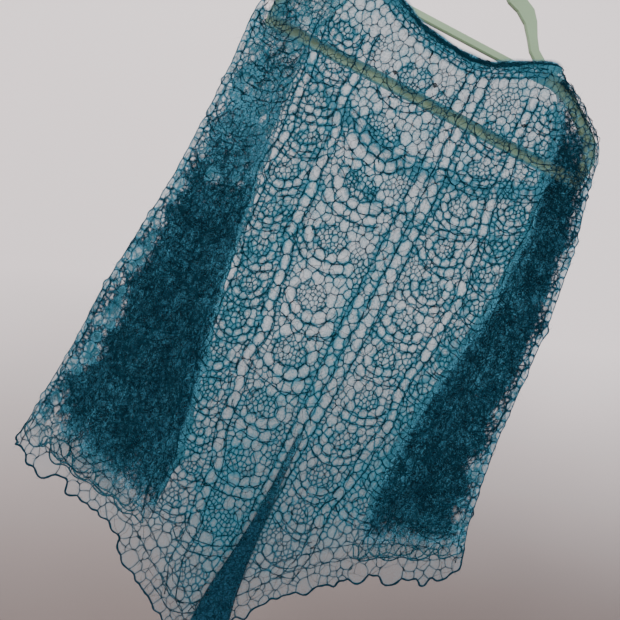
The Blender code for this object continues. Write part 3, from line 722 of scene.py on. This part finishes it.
def mist_mesh(name, net, place, pick, body, material):
    """The halo of fine fibres as a skin: from each thread a band MIST wide, then a fan to the cell's middle. The
    mark called mist is 1 on a thread and falls with distance from it; body is the fuzz between threads, thinner
    over large cells; the third mark is 1 where layers lie on each other and also rises as painted shade, lower
    down and along folds, where the haze's tone turns darker."""
    rows, used, begin, end = picked(net, pick[net.cell])
    cell = net.cell[rows]
    names, hub = np.unique(cell, return_inverse=True)
    large = net.size[cell] > MIST * 1.35
    count = len(used)
    hubs = count + hub
    near = net.places[net.begin[rows]]
    toward = net.centre[cell] - near
    share = np.minimum(MIST / np.maximum(long(toward), 1e-6), 0.9)
    flat = np.concatenate([net.places[used], net.centre[names], near + toward * share[:, None]])
    marks = np.concatenate([np.ones(count), np.maximum(1 - net.size[names] / MIST, 0), np.zeros(len(rows))])
    ring = count + len(names) + np.arange(len(rows))
    after = count + len(names) + np.searchsorted(rows, net.follow[rows])
    fans = columns(begin, end, hubs)[~large]
    bands = columns(begin, end, after, ring)[large]
    inner = columns(ring, after, hubs)[large]
    live = np.zeros(len(flat), bool)
    for faces in (fans, bands, inner):
        live[faces] = True
    renumber = np.cumsum(live) - 1
    fog, layers_and_shade = body(flat)
    open_cell = np.concatenate([np.zeros(count), net.size[names], 0.6 * net.size[cell]])
    fog = fog * (1 - 0.16 * hold((open_cell - 3) / 5) * (1 - layers_and_shade))
    return put_mesh(name, place(flat[live]), [renumber[fans], renumber[bands], renumber[inner]], material,
                    {"mist": marks[live], "body": fog[live], "layers_and_shade": layers_and_shade[live]})


def square_to(ahead):
    """Two unit vectors square to each direction: one level with the cloth and one across it."""
    one = unit(np.cross(unit(ahead), [0, 1, 0]))
    return one, np.cross(unit(ahead), one)


def rings(middle, ahead, size, sides):
    """A ring of points round each middle, size away from it and square to its direction ahead."""
    one, two = square_to(ahead)
    a = (2 * np.pi * np.arange(sides) / sides)[None, :, None]
    return middle[:, None] + size[:, None, None] * (np.cos(a) * one[:, None] + np.sin(a) * two[:, None])


def tubes(name, lines, sides, material):
    """Round cords in one mesh. Each line is (points, radius): a ring of the radius stands round each point,
    square to the line, and both ends are closed."""
    points, quads, caps = [], [], []
    first = 0
    for line, radius in lines:
        points.append(rings(line, np.gradient(line, axis=0), radius, sides).reshape(-1, 3))
        index = first + np.arange(len(line) * sides).reshape(-1, sides)
        beside = np.roll(index, -1, axis=1)
        quads.append(np.stack([index[:-1], beside[:-1], beside[1:], index[1:]], axis=2).reshape(-1, 4))
        caps += [index[0, ::-1], index[-1]]
        first += len(line) * sides
    return put_mesh(name, np.concatenate(points), [np.concatenate(quads), np.array(caps)], material)


def bundle(line, count, spread, radius):
    """Loose yarns side by side: each strays from the line by two sine waves up to the spread, and a little in
    depth, so they cross each other, and its radius swells and thins by a third wave."""
    one = square_to(np.gradient(line, axis=0))[0]
    run = lengths(line)
    out = []
    for a, b, c, d, slow in rng.uniform(0, 2 * np.pi, (count, 5)):
        side = 0.65 * np.sin(run / (3.2 + 0.6 * slow) + a) + 0.45 * np.sin(run / 2.3 + b)
        lift = 0.5 * np.sin(run / 3.7 + c)
        out.append((line + (spread * side)[:, None] * one + np.outer(lift, [0, 1, 0]),
                    radius * (1 + 0.3 * np.sin(run / 2.9 + d))))
    return out


def fog_strip(name, line, wide, material):
    """A soft band of fibre along a line, five points across from edge to edge: it bows to the back by the
    square of the distance from its middle, and mist falls from 1 in the middle to 0 at both edges."""
    one = square_to(np.gradient(line, axis=0))[0]
    u = np.linspace(-1, 1, 5)
    size = wide * (1 + 0.15 * np.sin(np.arange(len(line)) / 3.1))
    bow = 1.6 * (1 - u**2)
    grid = line[:, None] + (u[None] * size[:, None])[..., None] * one[:, None] + bow[None, :, None] * [0, 1, 0]
    index = np.arange(len(line) * 5).reshape(-1, 5)
    quads = np.stack([index[:-1, :-1], index[:-1, 1:], index[1:, 1:], index[1:, :-1]], axis=2).reshape(-1, 4)
    mist = np.tile(1 - u**2, len(line))
    return put_mesh(name, grid.reshape(-1, 3), [quads], material,
                    {"mist": mist, "body": 0.75 * mist, "layers_and_shade": 0.55 + 0.4 * mist})


def rim_cord(name, net, place, pick, radius, material):
    """The cord along a net's edge: a ring of six points round each edge point, square to the run from the
    point before to the point after, joined along the edge. Its radius is a function of the flat place."""
    _, used, begin, end = picked(net, net.edge & pick[net.cell])
    middle = place(net.places[used])
    own = np.arange(len(used))
    after, ahead_of = own.copy(), own.copy()
    after[begin] = end
    ahead_of[end] = begin
    size = radius(net.places[used]) * rng.uniform(0.75, 1.25, len(used))
    ring = rings(middle, middle[after] - middle[ahead_of], size, 6)
    low, high = (side[:, None] * 6 + np.arange(6) for side in (begin, end))
    faces = [np.stack([low, np.roll(low, -1, axis=1), np.roll(high, -1, axis=1), high], axis=2).reshape(-1, 4)]
    for stop, way in ((ahead_of, -1), (after, 1)):
        last = np.nonzero(stop == own)[0]
        if len(last):
            faces.append(last[:, None] * 6 + np.arange(6)[::way])
    return put_mesh(name, ring.reshape(-1, 3), faces, material)


HAIR_HALF = 0.07


def fuzz(name, net, place, pick, count, hair, material):
    """Loose fibres: each starts on a thread and bends away in two straight stretches, a ribbon that tapers
    to a point, at random angles round the thread. A sixth of them start on the net's edge."""
    live = pick[net.cell]
    rows = np.concatenate([rng.choice(np.nonzero(live)[0], count - count // 6),
                           rng.choice(np.nonzero(live & net.edge)[0], count // 6)])
    share = rng.uniform(0, 1, (count, 1))
    flat = net.places[net.begin[rows]] * (1 - share) + net.places[net.end[rows]] * share
    root = place(flat)
    normal = facing(place, flat)
    turn = rng.uniform(0, 2 * np.pi, (count, 1))
    right = unit(np.cross(normal, [0, 0, 1]))
    way = np.cos(turn) * right + np.sin(turn) * np.cross(normal, right)
    way += normal * rng.normal(0, 0.45, (count, 1))
    bend = np.cross(way, normal) * rng.normal(0, 0.7, (count, 1)) + normal * rng.normal(0, 0.3, (count, 1))
    length = hair * rng.uniform(0.5, 1.3, (count, 1))
    middle = root + way * length * 0.5
    tip = middle + (way + bend) * length * 0.5
    wide = unit(np.cross(way, normal)) * HAIR_HALF
    points = columns(root - wide, root + wide, middle - wide, middle + wide, tip).reshape(-1, 3)
    base = np.arange(count)[:, None] * 5
    return put_mesh(name, points, [base + [0, 1, 3, 2], base + [2, 3, 4]], material)


TEAL_DARK = (0.0014, 0.0095, 0.0170, 1)
TEAL = (0.0035, 0.0270, 0.0450, 1)
TEAL_SHADED_TONE = (0.0100, 0.0360, 0.0600, 1)
TEAL_LIT_TONE = (0.0620, 0.2150, 0.3000, 1)
TEAL_NEAR = (0.0090, 0.0680, 0.1020, 1)
TEAL_THIN = (0.0290, 0.1080, 0.1420, 1)
TEAL_HAZE = (0.0360, 0.1340, 0.1760, 1)
yarn, shader, spot = finish_of("mohair_yarn", {"Roughness": 0.9, "Specular IOR Level": 0.04, "Sheen Weight": 0.03,
                                               "Sheen Roughness": 0.5, "Sheen Tint": (0.25, 0.62, 0.72, 1)})
fibre = spot.noise(1400, 3, 0.65)
patch = spot.noise(55, 3)
mix = (0.65 * fibre.clear(0.35, 0.68) + 0.45 * patch.clear(0.35, 0.65)).clear(0, 1.1)
mix.blend(TEAL_DARK, TEAL).feed(shader, "Base Color")
spot.node("ShaderNodeBump", {}, {"Strength": 0.5, "Distance": 0.0003, "Height": fibre}).feed(shader, "Normal")

haze, shader, spot = finish_of("mohair_haze", {"Roughness": 1, "Specular IOR Level": 0.03})
mark, body, layers_and_shade = (spot.node("ShaderNodeAttribute", {"attribute_name": key}, {}, 2)
                    for key in ("mist", "body", "layers_and_shade"))
hanging = spot.node("ShaderNodeMapping", {}, {"Vector": spot, "Scale": (1, 1, 0.22)})
strand = spot.noise(520, 4, 0.65).clear(0.32, 0.68)
hair = hanging.noise(330, 3, 0.6).clear(0.36, 0.66)
patch = spot.noise(45, 3).clear(0.35, 0.68)
streak = hanging.noise(60, 3, 0.6).clear(0.35, 0.68)
wander = spot.node("ShaderNodeTexNoise", {}, {"Vector": spot, "Scale": 110, "Detail": 3}, 1)
upright = spot.node("ShaderNodeMapping", {}, {"Vector": spot, "Scale": (1, 1, 0.6)})
bent = spot.node("ShaderNodeVectorMath", {"operation": "MULTIPLY_ADD"},
                 {0: wander, 1: (0.02, 0.02, 0.02), 2: upright})
curl, coil = (bent.node("ShaderNodeTexVoronoi", {"feature": "DISTANCE_TO_EDGE"}, {"Vector": bent, "Scale": scale})
              .clear(edge, core) for scale, edge, core in ((150, 0.09, 0.03), (95, 0.06, 0.02)))
curl = curl.maths("MAXIMUM", curl, coil)
close = mark ** (2.6 - 1.2 * layers_and_shade)
open_tone = (close * (0.55 + 0.45 * strand)).clear(0, 0.8).blend(patch.blend(TEAL_THIN, TEAL_HAZE), TEAL_NEAR)
# Painted shade: the dense tone turns from the lit teal to the shaded teal as the mark of layers and shade rises,
# where layers lie on each other and further down the cloth. Three noises add random tone on top.
tone_and_painted_shade = 0.18 * hair + 0.30 * streak + 0.22 * patch + 1.81 - 1.85 * layers_and_shade.maths("MAXIMUM", layers_and_shade, 0.6)
tone_and_painted_shade = (tone_and_painted_shade * layers_and_shade.clear(0.1, 0.65)).clear(0, 1)
dense_tone = (curl * (0.3 + 0.6 * layers_and_shade.clear(0.55, 0.9))).blend(tone_and_painted_shade.blend(TEAL_SHADED_TONE, TEAL_LIT_TONE), TEAL_DARK)
layers_and_shade.clear(0.05, 0.75).blend(open_tone, dense_tone).feed(shader, "Base Color")
cover = (close * (0.10 + 0.16 * strand + 0.18 * patch + 0.55 * layers_and_shade)
         + body * (0.84 + 0.16 * strand + 0.16 * patch + 0.16 * curl))
cover.clear(0, 1).feed(shader, "Alpha")

fur, shader, spot = finish_of("mohair_fibre", {"Roughness": 0.8, "Specular IOR Level": 0.3})
spot.noise(300, 2).clear(0.35, 0.65).blend(TEAL, (0.012, 0.085, 0.125, 1)).feed(shader, "Base Color")


def edge_weight(flat):
    """Radius of the front's edge: thin along the folds, rising to bold from 30 mm to 18 mm above the hem."""
    return 0.48 + 0.62 * hold((hem_at(flat[:, 0]) + 30 - flat[:, 1]) / 12)


def front_fuzz_and_painted_shadow(flat):
    """Fuzz across the front, partly real haze and partly a painted shadow of the wall behind the shawl: a little
    thicker in clusters and along ridges, thinner where the cloth lies on the hanger and towards the hem's loops,
    and dark and thin where a wing hangs behind it. Painted shade thickens and thins it in upright bands and along
    the high swag, as shading of the drape's folds, and darkens its tone lower down and just above the hem."""
    x, z = flat.T
    place = chart_of(x, z)
    band = hold(ridge_map[place])
    hem = hem_at(x)
    inner_left, inner_right = (np.interp(-z, [-row[3] for row in rows], [row[2] for row in rows])
                               for rows in (LEFT_SIDE, RIGHT_SIDE))
    upper = np.clip(np.where(x < 0, (80 - z) / 300, (112 - z) / 50), 0.15, 1)
    over = hold(0.5 + np.maximum(inner_left - x, x - inner_right) / 12)
    over = over * upper * hold((z - hem - 30) / 30)
    # Where the cloth lies on the hanger, the painted shadow of the wall is left out, so the fuzz thins there.
    on_bar = bell((z + 3.3) / 5.6, 4) * (np.abs(x) < 205)
    near = from_folds(flat)
    on_arm = (z > 6) * hold((96 - z) / 10) * bell(near / 22, 4)
    on_arm = on_arm * hold(near / 6 - 0.6)
    thin = (1 - 0.92 * np.maximum(on_bar, on_arm)) * np.clip(0.28 + (z - hem) / 180, 0.28, 1)
    # Painted shade of the drape: upright bands of the folds and a band along the high swag make the fuzz thicker and
    # darker.
    wave = upright_wave(x, z, 2.2) * hold(-z / 250)
    swag = bell((z + 11 - swag_line(x, HIGH_SWAG)) / 9)
    # The fuzz level is partly real haze and partly a painted shadow of the wall behind the shawl.
    fog = 0.68 + 0.05 * hold(fog_map[place]) + 0.13 * band + 0.06 * wave + 0.14 * swag
    gap = gaps(flat)
    over = over * (1 - 0.8 * gap)
    fold = bell(near / 15, 4) * hold((60 - z) / 20)
    fold = fold * hold((z - hem) / 30) * (1 - gap)
    # Painted shade: the tone darkens lower down and just above the hem.
    low = np.maximum(0.27 * hold((-280 - z) / 250), 0.4 * hold(1 - (z - hem) / 50))
    layers_and_shade = np.maximum(np.maximum(over, 0.9 * fold), np.maximum(low, 0.36 * band + 0.15 * swag))
    return np.maximum(fog * (1 - 0.62 * over) * thin, 0.62 * fold), layers_and_shade


def slack_grain(flat):
    """Radius of the long loose cells that cross the lace, far larger than its own."""
    return rng.uniform(4.6, 10.5, len(flat))


def before(flat):
    """Places 1.2 mm in front of the front layer."""
    return front(flat) - [0, 1.2, 0]


CURL_POINTS = 13
CURL_STEP = 2.1


def curls(rows, count):
    """Loose yarns that curl over a doubled side: each walks from a random start by equal steps whose heading
    swings by a random turn and a steady one. Those that leave the side or cross a gap are left out."""
    first = between(rows, rng.uniform(0.05, 0.93, count), rng.uniform(0.03, 0.95, (count, 1)))
    turn = rng.normal(0, 0.34, (count, CURL_POINTS)) + rng.uniform(-0.42, 0.42, (count, 1))
    heading = rng.uniform(0, 2 * np.pi, (count, 1)) + np.cumsum(turn, axis=1)
    step = CURL_STEP * np.stack([np.cos(heading), 1.3 * np.sin(heading)], axis=2)
    walk = first[:, None] + np.cumsum(step, axis=1)
    rows = np.array(rows)
    outline = np.concatenate([rows[:, :2], rows[::-1, 2:]])
    spots = walk.reshape(-1, 2)
    good = within(outline, spots) & within(whole, spots) & (reach(whole, spots) > 1.6) & (gaps(spots) < 0.6)
    lift = np.linspace(0, 1, CURL_POINTS)[:, None] * [0, 1, 0]
    return [(front(line) - [0, 1, 0] + rng.uniform(-0.8, 0.8) * lift, np.full(CURL_POINTS, rng.uniform(0.28, 0.46)))
            for line in walk[good.reshape(count, CURL_POINTS).all(1)]]


MIDDLE = 49
CURLS = {"left": (LEFT_SIDE, 850), "right": (RIGHT_SIDE, 560)}
HAIRS = 4500
HAIR_LONG = 5.5
THREAD_HEIGHT = 0.42

slack = knitted([np.zeros((0, 2))], [np.zeros(0)], whole, slack_grain, 8, 3000, 0.15, 0, 9)
net = knitted([gap_spots] + seeds, [0.85 * gap_size] + radii, whole, front_grain, 14, 9000, 0.20, 0.045)
lines = {"left": [], "right": []}
for line, width in ridges:
    near = within(whole, line) & (reach(whole, line) > 1.5)
    for run in np.split(line, np.nonzero(~near)[0]):
        run = run[1:] if len(run) and not within(whole, run[:1])[0] else run
        if len(run) < 6:
            continue
        run = evenly(run, 3.2)
        run = run + np.cumsum(rng.normal(0, 0.10, run.shape), axis=0) * 0.5
        side = "left" if run[:, 0].mean() < MIDDLE else "right"
        lines[side] += bundle(front(run), 2 + (width > 0.45), 0.5 + 1.1 * width, 0.17 + 0.37 * width)
for side in ("left", "right"):
    pick = (net.centre[:, 0] < MIDDLE) == (side == "left")
    threads = yarn_mesh("lace_" + side, net, front, pick, THREAD_HEIGHT, yarn)
    veil = mist_mesh("halo_" + side, net, front, pick, front_fuzz_and_painted_shadow, haze)
    cord = tubes("ridges_" + side, lines[side], 3, yarn)
    edge = rim_cord("edge_" + side, net, front, pick, edge_weight, yarn)
    loose_pick = (slack.centre[:, 0] < MIDDLE) == (side == "left")
    loose_yarn = yarn_mesh("slack_" + side, slack, before, loose_pick, 0.3, yarn)
    curled = tubes("curls_" + side, curls(*CURLS[side]), 3, yarn)
    hairs = fuzz("fibres_" + side, net, front, pick, HAIRS, HAIR_LONG, fur)
    for piece in (threads, veil, cord, edge, hairs, loose_yarn, curled):
        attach(piece, "root")
    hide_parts("panel_" + side, "border_" + side)
    "hanger_arm_" + side


# The wings: the long corners of the triangle, turned back over the hanger's ends and folded in three behind it,
# so that three layers of the same lace lie close and look nearly solid. Their feet end in the same open loops.

# Across a wing, from its outer fold: share of its width, depth at the shoulder and depth further down.
WING_FOLDS = [(0.00, 8.5, 9), (0.14, 8.5, 12.5), (0.34, 8.5, 8.5), (0.56, 8.5, 13), (0.78, 8.5, 9), (0.95, 8.5, 11.5),
              (1.00, 10.2, 14.5), (0.95, 12, 17.5), (0.72, 12, 20), (0.43, 12, 16.5), (0.15, 12, 20),
              (0.09, 13.8, 23), (0.15, 15.6, 26), (0.41, 15.6, 23.5), (0.68, 15.6, 28), (0.88, 15.6, 24.5)]
WING_ROWS = np.linspace(0, 1, 300)
fold_share = np.linspace(0, 1, 400)
turns = through(WING_FOLDS, fold_share)
FOLD_RUN = lengths(turns[:, [0, 2]] / [1, 150])
UNFOLDED = FOLD_RUN[-1]
FOLD_RUN = FOLD_RUN / UNFOLDED


def wing_of(rows):
    """The chart of a wing and its place in space. A flat point is (distance across from the middle of the
    unfolded cloth, minus the distance down). Across, the cloth follows WING_FOLDS; down, it follows the rows."""
    level = through(rows, WING_ROWS)
    wide = np.hypot(level[:, 2] - level[:, 0], level[:, 3] - level[:, 1]) * UNFOLDED
    centre = (level[:, :2] + level[:, 2:]) / 2
    down = lengths(centre)
    outline = evenly([row[:2] for row in rows], 12)

    def place(flat):
        """Flat points to space: the row at this level, the share of its width by the folds, whose turns stray
        by sine waves, and their depth, which closes to the front layer along the outer fold."""
        at = np.interp(-flat[:, 1], down, WING_ROWS)
        share = hold(flat[:, 0] / np.interp(-flat[:, 1], down, wide) + 0.5)
        s = np.interp(share, FOLD_RUN, fold_share)
        part, near, far = through(WING_FOLDS, s).T
        stray = np.sin(flat[:, 1] / 13 + 1.6 * np.sin(flat[:, 1] / 37)) + 0.6 * np.sin(flat[:, 1] / 5.7)
        part = part + stray * (0.034 * bell((s - 0.73) / 0.07) - 0.016 * bell((s - 0.4) / 0.05))
        x, z = between(rows, at, part).T
        z = z + np.minimum(flat[:, 1] + down[-1], 0)
        depth = near + (far - near) * ease(at / 0.45)
        depth = depth + 1.3 * ease(at / 0.3) * np.sin(40 * part + 1.2 * np.sin(z / 60) + 2 * s)
        close = FOLD_EDGE + (depth - FOLD_EDGE) * ease(reach(outline, columns(x, z)) / FOLD_RADIUS)
        return columns(x, np.where(s < 0.36, close, depth), z)

    foot = down[-1] - 6
    sides = columns(wide / 2, -down)[down < foot]
    loop = np.concatenate([sides * [-1, 1] + [1.5, 0], sides[::-1]])
    return place, loop, down, wide, foot


def wing_grain(flat):
    """Radius of a wing's cells: small over the layer in front, with scattered larger ones, larger in the two
    layers behind, and largest in the foot."""
    x, z = flat.T
    ahead = x < -0.08 * np.interp(-z, down, wide)
    radius = np.where(ahead, np.where(patches(flat, 9, 27, 13, 19) > 1, 4.6, 2.6), 5)
    radius = radius * (1 + 0.35 * hold((160 + z) / 120))
    return np.maximum(radius, 6.5 - (foot + z) / 9) * rng.uniform(0.72, 1.3, len(x))


def foot_weight(flat):
    """Radius of the edge round a wing's foot, the same all along."""
    return np.full(len(flat), 0.8)


def wing_body(flat):
    """Fuzz of the wings: thin at the shoulder, dense from the swags down, and thin again in the foot's loops. Its
    second value, the mark of layers, rises from the shoulder down towards the foot, which paints the lower wing
    darker as shade.
    """
    z = -flat[:, 1]
    ragged = 12 * np.sin(flat[:, 0] / 14) + 7 * np.sin(flat[:, 0] / 5.3 + 1)
    full = np.interp(z, down, wide)
    share = flat[:, 0] / full + 0.5
    part = np.interp(np.interp(hold(share), FOLD_RUN, fold_share), fold_share, turns[:, 0])
    from_fold = np.where(share < 0.8, 1 - part, 0.88 - part) * full / UNFOLDED
    lower = hold((foot - 7 + ragged - z) / 40)
    dense = hold((z - THIN_TO[side][0]) / THIN_TO[side][1])
    inside = part * full / UNFOLDED
    fog = (0.17 + (0.13 + 0.46 * dense) * lower) * np.clip((from_fold + ragged / 5) / 6, 0.5, 1)
    gap = gaps(place(flat)[:, [0, 2]])
    fog = fog * np.clip((inside + 0.4 * ragged) / 12, 0.6, 1) * (1 - 0.75 * gap)
    # Painted shade: the second value grows further down the wing and darkens its tone.
    return fog, (0.15 + (0.42 + 0.42 * dense) * lower) * (1 - 0.7 * gap)


FOOT_LOOP = 32
THIN_TO = {"left": (150, 240), "right": (20, 130)}
for side, rows in (("left", LEFT_SIDE), ("right", RIGHT_SIDE)):
    place, loop, down, wide, foot = wing_of(rows)
    seeds, radii = [], []
    half = np.interp(foot, down, wide) / 2
    number = int(round(2 * half / FOOT_LOOP))
    middle = np.linspace(-half, half, 2 * number + 1)[1::2]
    level = np.full(number, 5 - foot)
    add_seeds(columns(middle, level), 11)
    for aim in (-72, -38, 0, 38, 72):
        a = math.radians(aim)
        add_seeds(columns(middle + 24 * math.sin(a), level - 19.5 * math.cos(a)), 3.4)
    add_seeds(columns(np.linspace(-half, half, number + 1)[1:-1], level[1:] + 10), 6)
    base = evenly(columns(wide / 2, -down)[down < foot + 8], 6.4)
    for shift in (-3.2, 3.2):
        add_seeds(base + [shift, 0], 3)
    wing_net = knitted(seeds, radii, loop, wing_grain, 12, 9000, 0.30, 0.07)
    every = np.ones(len(wing_net.centre), bool)
    full = np.interp(-wing_net.centre[:, 1], down, wide)
    across = wing_net.centre[:, 0] + full / 2
    shown = (across > 5.5) & ((across < 0.36 * full) | (across > 0.64 * full))
    shown &= gaps(place(wing_net.centre)[:, [0, 2]]) < 0.45
    threads = yarn_mesh("wing_lace_" + side, wing_net, place, shown, THREAD_HEIGHT, yarn)
    veil = mist_mesh("wing_halo_" + side, wing_net, place, every, wing_body, haze)
    low = wing_net.centre[:, 1] < 30 - foot
    edge = rim_cord("wing_edge_" + side, wing_net, place, low, foot_weight, yarn)
    hairs = fuzz("wing_fibres_" + side, wing_net, place, every, HAIRS, HAIR_LONG, fur)
    for piece in (threads, veil, edge, hairs):
        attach(piece, "root")
    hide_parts("wing_" + side, "wing_border_" + side)
    t = 0.965 * np.arange(2, 14) / 13
    v, w = (np.interp(t, WING_ROWS, run) for run in (down, wide))
    tip = place(columns(w / 2, -v))
    way = unit(tip - place(columns(w * 0.475, -v)))
    cord = tubes("wing_band_yarns_" + side, bundle(evenly(tip + way * 2.6, 3), 6, 2.2, 0.42), 4, yarn)
    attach(cord, "root")
    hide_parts("wing_band_" + side)
    "hanger_arm_" + side


# The neck band: the cast-on edge, which rolls on itself into a soft cord over both arms and sags between them.
# Its yarns lie loosely side by side, and more of them are gathered where the shawl turns over each shoulder.

band = evenly([(x, y, z) for x, z, y in NECK], 2.5)
cord = tubes("neck_yarns", bundle(band, 6, 1.9, 0.50) + bundle(band, 6, 3.6, 0.34), 4, yarn)
mist = fog_strip("neck_haze", band, 7, haze)
lump = []
for line, inward in FOLDS:
    top = evenly(sideways(evenly(line[:10], 3), inward * 7.5)[:38], 3)
    for turn, (points, size) in enumerate(bundle(front(top) - [0, 1.6, 0], 10, 4.4, 0.40)):
        lump.append((points[:len(points) - 3 * turn], size[:len(points) - 3 * turn]))
for way in (-1, 1):
    path = evenly([(way * 111, -7.6, 103.6), (way * 120, -6, 102.2), (way * 129, -5.2, 96.5),
                   (way * 139, -5.4, 89)], 2.5)
    lump += bundle(path, 9, 3.2, 0.42)
gather = tubes("shoulder_yarns", lump, 3, yarn)
for piece in (cord, mist, gather):
    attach(piece, "root")
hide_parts("neck_band")


# The spine: the middle rib, two yarns thick above. Low down it gathers the lace of both halves into one close,
# furry pleat that widens to the tip.

# Height and x of the pleat's left and right side, then share of its width and lift of its turns.
PLEAT = [(-400, 50.5, 57), (-450, 51, 59), (-508, 51, 64), (-560, 46.5, 69), (-600, 42, 75), (-627, 41.5, 80.7),
         (-645, 41.5, 74.5), (-662, 41.5, 66.5), (-675, 41.5, 58.5), (-686, 43, 50.5)]
PLEAT_TURNS = [(0.02, 0.9), (0.35, 1.6), (0.62, 0.9), (0.94, 1.8), (1, 2.6), (0.9, 3.2), (0.6, 2.8), (0.3, 3.6),
               (0.04, 3.2), (0, 4.2), (0.08, 4.8), (0.4, 4.6), (0.7, 5.2), (0.96, 4.6)]
PLEAT_TOP = -400
pleat_level = np.linspace(PLEAT_TOP, -684, 200)
pleat_low, pleat_high = (np.interp(-pleat_level, [-row[0] for row in PLEAT], [row[k] for row in PLEAT])
                         for k in (1, 2))


def pleat_place(flat):
    """Flat points (across, level) of the pleat to space: across, three times over its width by PLEAT_TURNS; its
    layers lie before the front layer."""
    z = flat[:, 1]
    low = np.interp(-z, -pleat_level, pleat_low)
    high = np.interp(-z, -pleat_level, pleat_high)
    share, lift = through(PLEAT_TURNS, hold(flat[:, 0] / (3 * (high - low)) + 0.5)).T
    x = low + (high - low) * share
    base = front(columns(x, z))
    base[:, 1] = drape(x, z) - lift * np.clip((PLEAT_TOP + 10 - z) / 90, 0.15, 1)
    return base


half = (pleat_high - pleat_low) * 1.5
loop = np.concatenate([columns(-half, pleat_level), columns(half, pleat_level)[::-1]])
seeds, radii = [], []
for way in (-1, 1):
    base = evenly(columns(way * half, pleat_level), 5)
    add_seeds(base - [way * 2.5, 0], 2.3)
    add_seeds(base + [way * 2.5, 0], 2.3)


def pleat_grain(flat):
    """Radius of the pleat's cells, small all over."""
    return rng.uniform(1.9, 2.8, len(flat))


def pleat_body(flat):
    """Fuzz of the pleat: close in its middle, ragged and thin at both sides, and fading in at its top. Its second
    value rises above 1 further down, which paints the pleat's tone darker as shade.
    """
    z = flat[:, 1]
    full = np.interp(-z, -pleat_level, pleat_high - pleat_low)
    share = through(PLEAT_TURNS, hold(flat[:, 0] / (3 * full) + 0.5))[:, 0]
    ragged = 1.3 * np.sin(z / 4) + np.sin(z / 9 + 2)
    side = np.clip((np.minimum(share, 1 - share) * full + ragged) / 6, 0.1, 1)
    grow = hold((PLEAT_TOP - z) / 130)
    # Painted shade: the second value darkens the pleat's tone down its length.
    return (0.08 + 0.62 * grow) * side, 0.82 + 0.48 * grow


pleat_net = knitted(seeds, radii, loop, pleat_grain, 10, 4000, 0.24, 0.03)
every = np.ones(len(pleat_net.centre), bool)
threads = yarn_mesh("pleat_lace", pleat_net, pleat_place, every, 0.4, yarn)
veil = mist_mesh("pleat_halo", pleat_net, pleat_place, every, pleat_body, haze)
hairs = fuzz("pleat_fibres", pleat_net, pleat_place, every, 4200, 4.8, fur)
for piece in (threads, veil, hairs):
    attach(piece, "root")
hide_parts("spine")


# The stage: a pale wall that runs down into a floor, with painted shade that makes it darker towards the lower side
# of the picture, lit softly from the upper left through a wide window and filled from the right. The camera is rolled
# as in the photo.

stage, shader, spot = finish_of("pale_wall", {"Roughness": 0.95})
high, aside = (spot.node("ShaderNodeSeparateXYZ", {}, {0: spot}, out) for out in (2, 0))
# Painted shade on the wall: a dark copy of its colour spreads over the lower side of the picture, with a slow noise
# in it.
shade = (0.953 * high - 0.337 * aside + 0.2 * spot.noise(1.2, 2)).clear(-1.52, -0.40)
(shade**1.5).blend((0.160, 0.126, 0.118, 1), (0.865, 0.772, 0.772, 1)).feed(shader, "Base Color")
angle = np.linspace(0, np.pi / 2, 24)
profile = np.concatenate([[[-4000, -1488]], columns(800 + 800 * np.sin(angle), -688 - 800 * np.cos(angle)),
                          [[1600, 3200]]])
grid = np.stack([np.repeat([[-4200, 4200]], len(profile), 0), np.repeat(profile[:, :1], 2, 1),
                 np.repeat(profile[:, 1:], 2, 1)], axis=2)
index = np.arange(len(profile) * 2).reshape(-1, 2)
quads = columns(index[:-1, 0], index[:-1, 1], index[1:, 1], index[1:, 0])
backdrop = put_mesh("backdrop", grid.reshape(-1, 3), [quads], stage)

world = bpy.data.worlds.new("studio")
bpy.context.scene.world = world
world.use_nodes = True
background = world.node_tree.nodes["Background"]
background.inputs["Color"].default_value = (0.97, 0.98, 1, 1)
background.inputs["Strength"].default_value = 1.45


def soft_light(name, place, aim, size, power, colour):
    """A square area light at a place in metres, turned to its aim."""
    lamp = bpy.data.lights.new(name, "AREA")
    lamp.size = size
    lamp.energy = power
    lamp.color = colour
    thing = bpy.data.objects.new(name, lamp)
    turn = (Vector(aim) - Vector(place)).to_track_quat("-Z", "Y")
    thing.matrix_world = Matrix.Translation(place) @ turn.to_matrix().to_4x4()
    bpy.context.scene.collection.objects.link(thing)


soft_light("window", (-1.6, -2, 0.9), (0, 0, -0.5), 1.8, 85, (1, 0.98, 0.95))
soft_light("fill", (1.8, -1.6, -0.2), (0, 0, -0.5), 2.2, 34, (0.95, 0.98, 1))

ROLL = math.radians(28)
camera = bpy.data.cameras.new("camera")
camera.sensor_width = 36
camera.lens = 18 / math.tan(math.radians(25))
eye = bpy.data.objects.new("camera", camera)
right = Vector((math.cos(ROLL), 0, math.sin(ROLL)))
up = Vector((-math.sin(ROLL), 0, math.cos(ROLL)))
back = Vector((0, -1, 0))
turn = Matrix((right, up, back)).transposed()
eye.matrix_world = Matrix.Translation((-0.0034, -0.765, -0.5348)) @ turn.to_4x4()
bpy.context.scene.collection.objects.link(eye)
bpy.context.scene.camera = eye
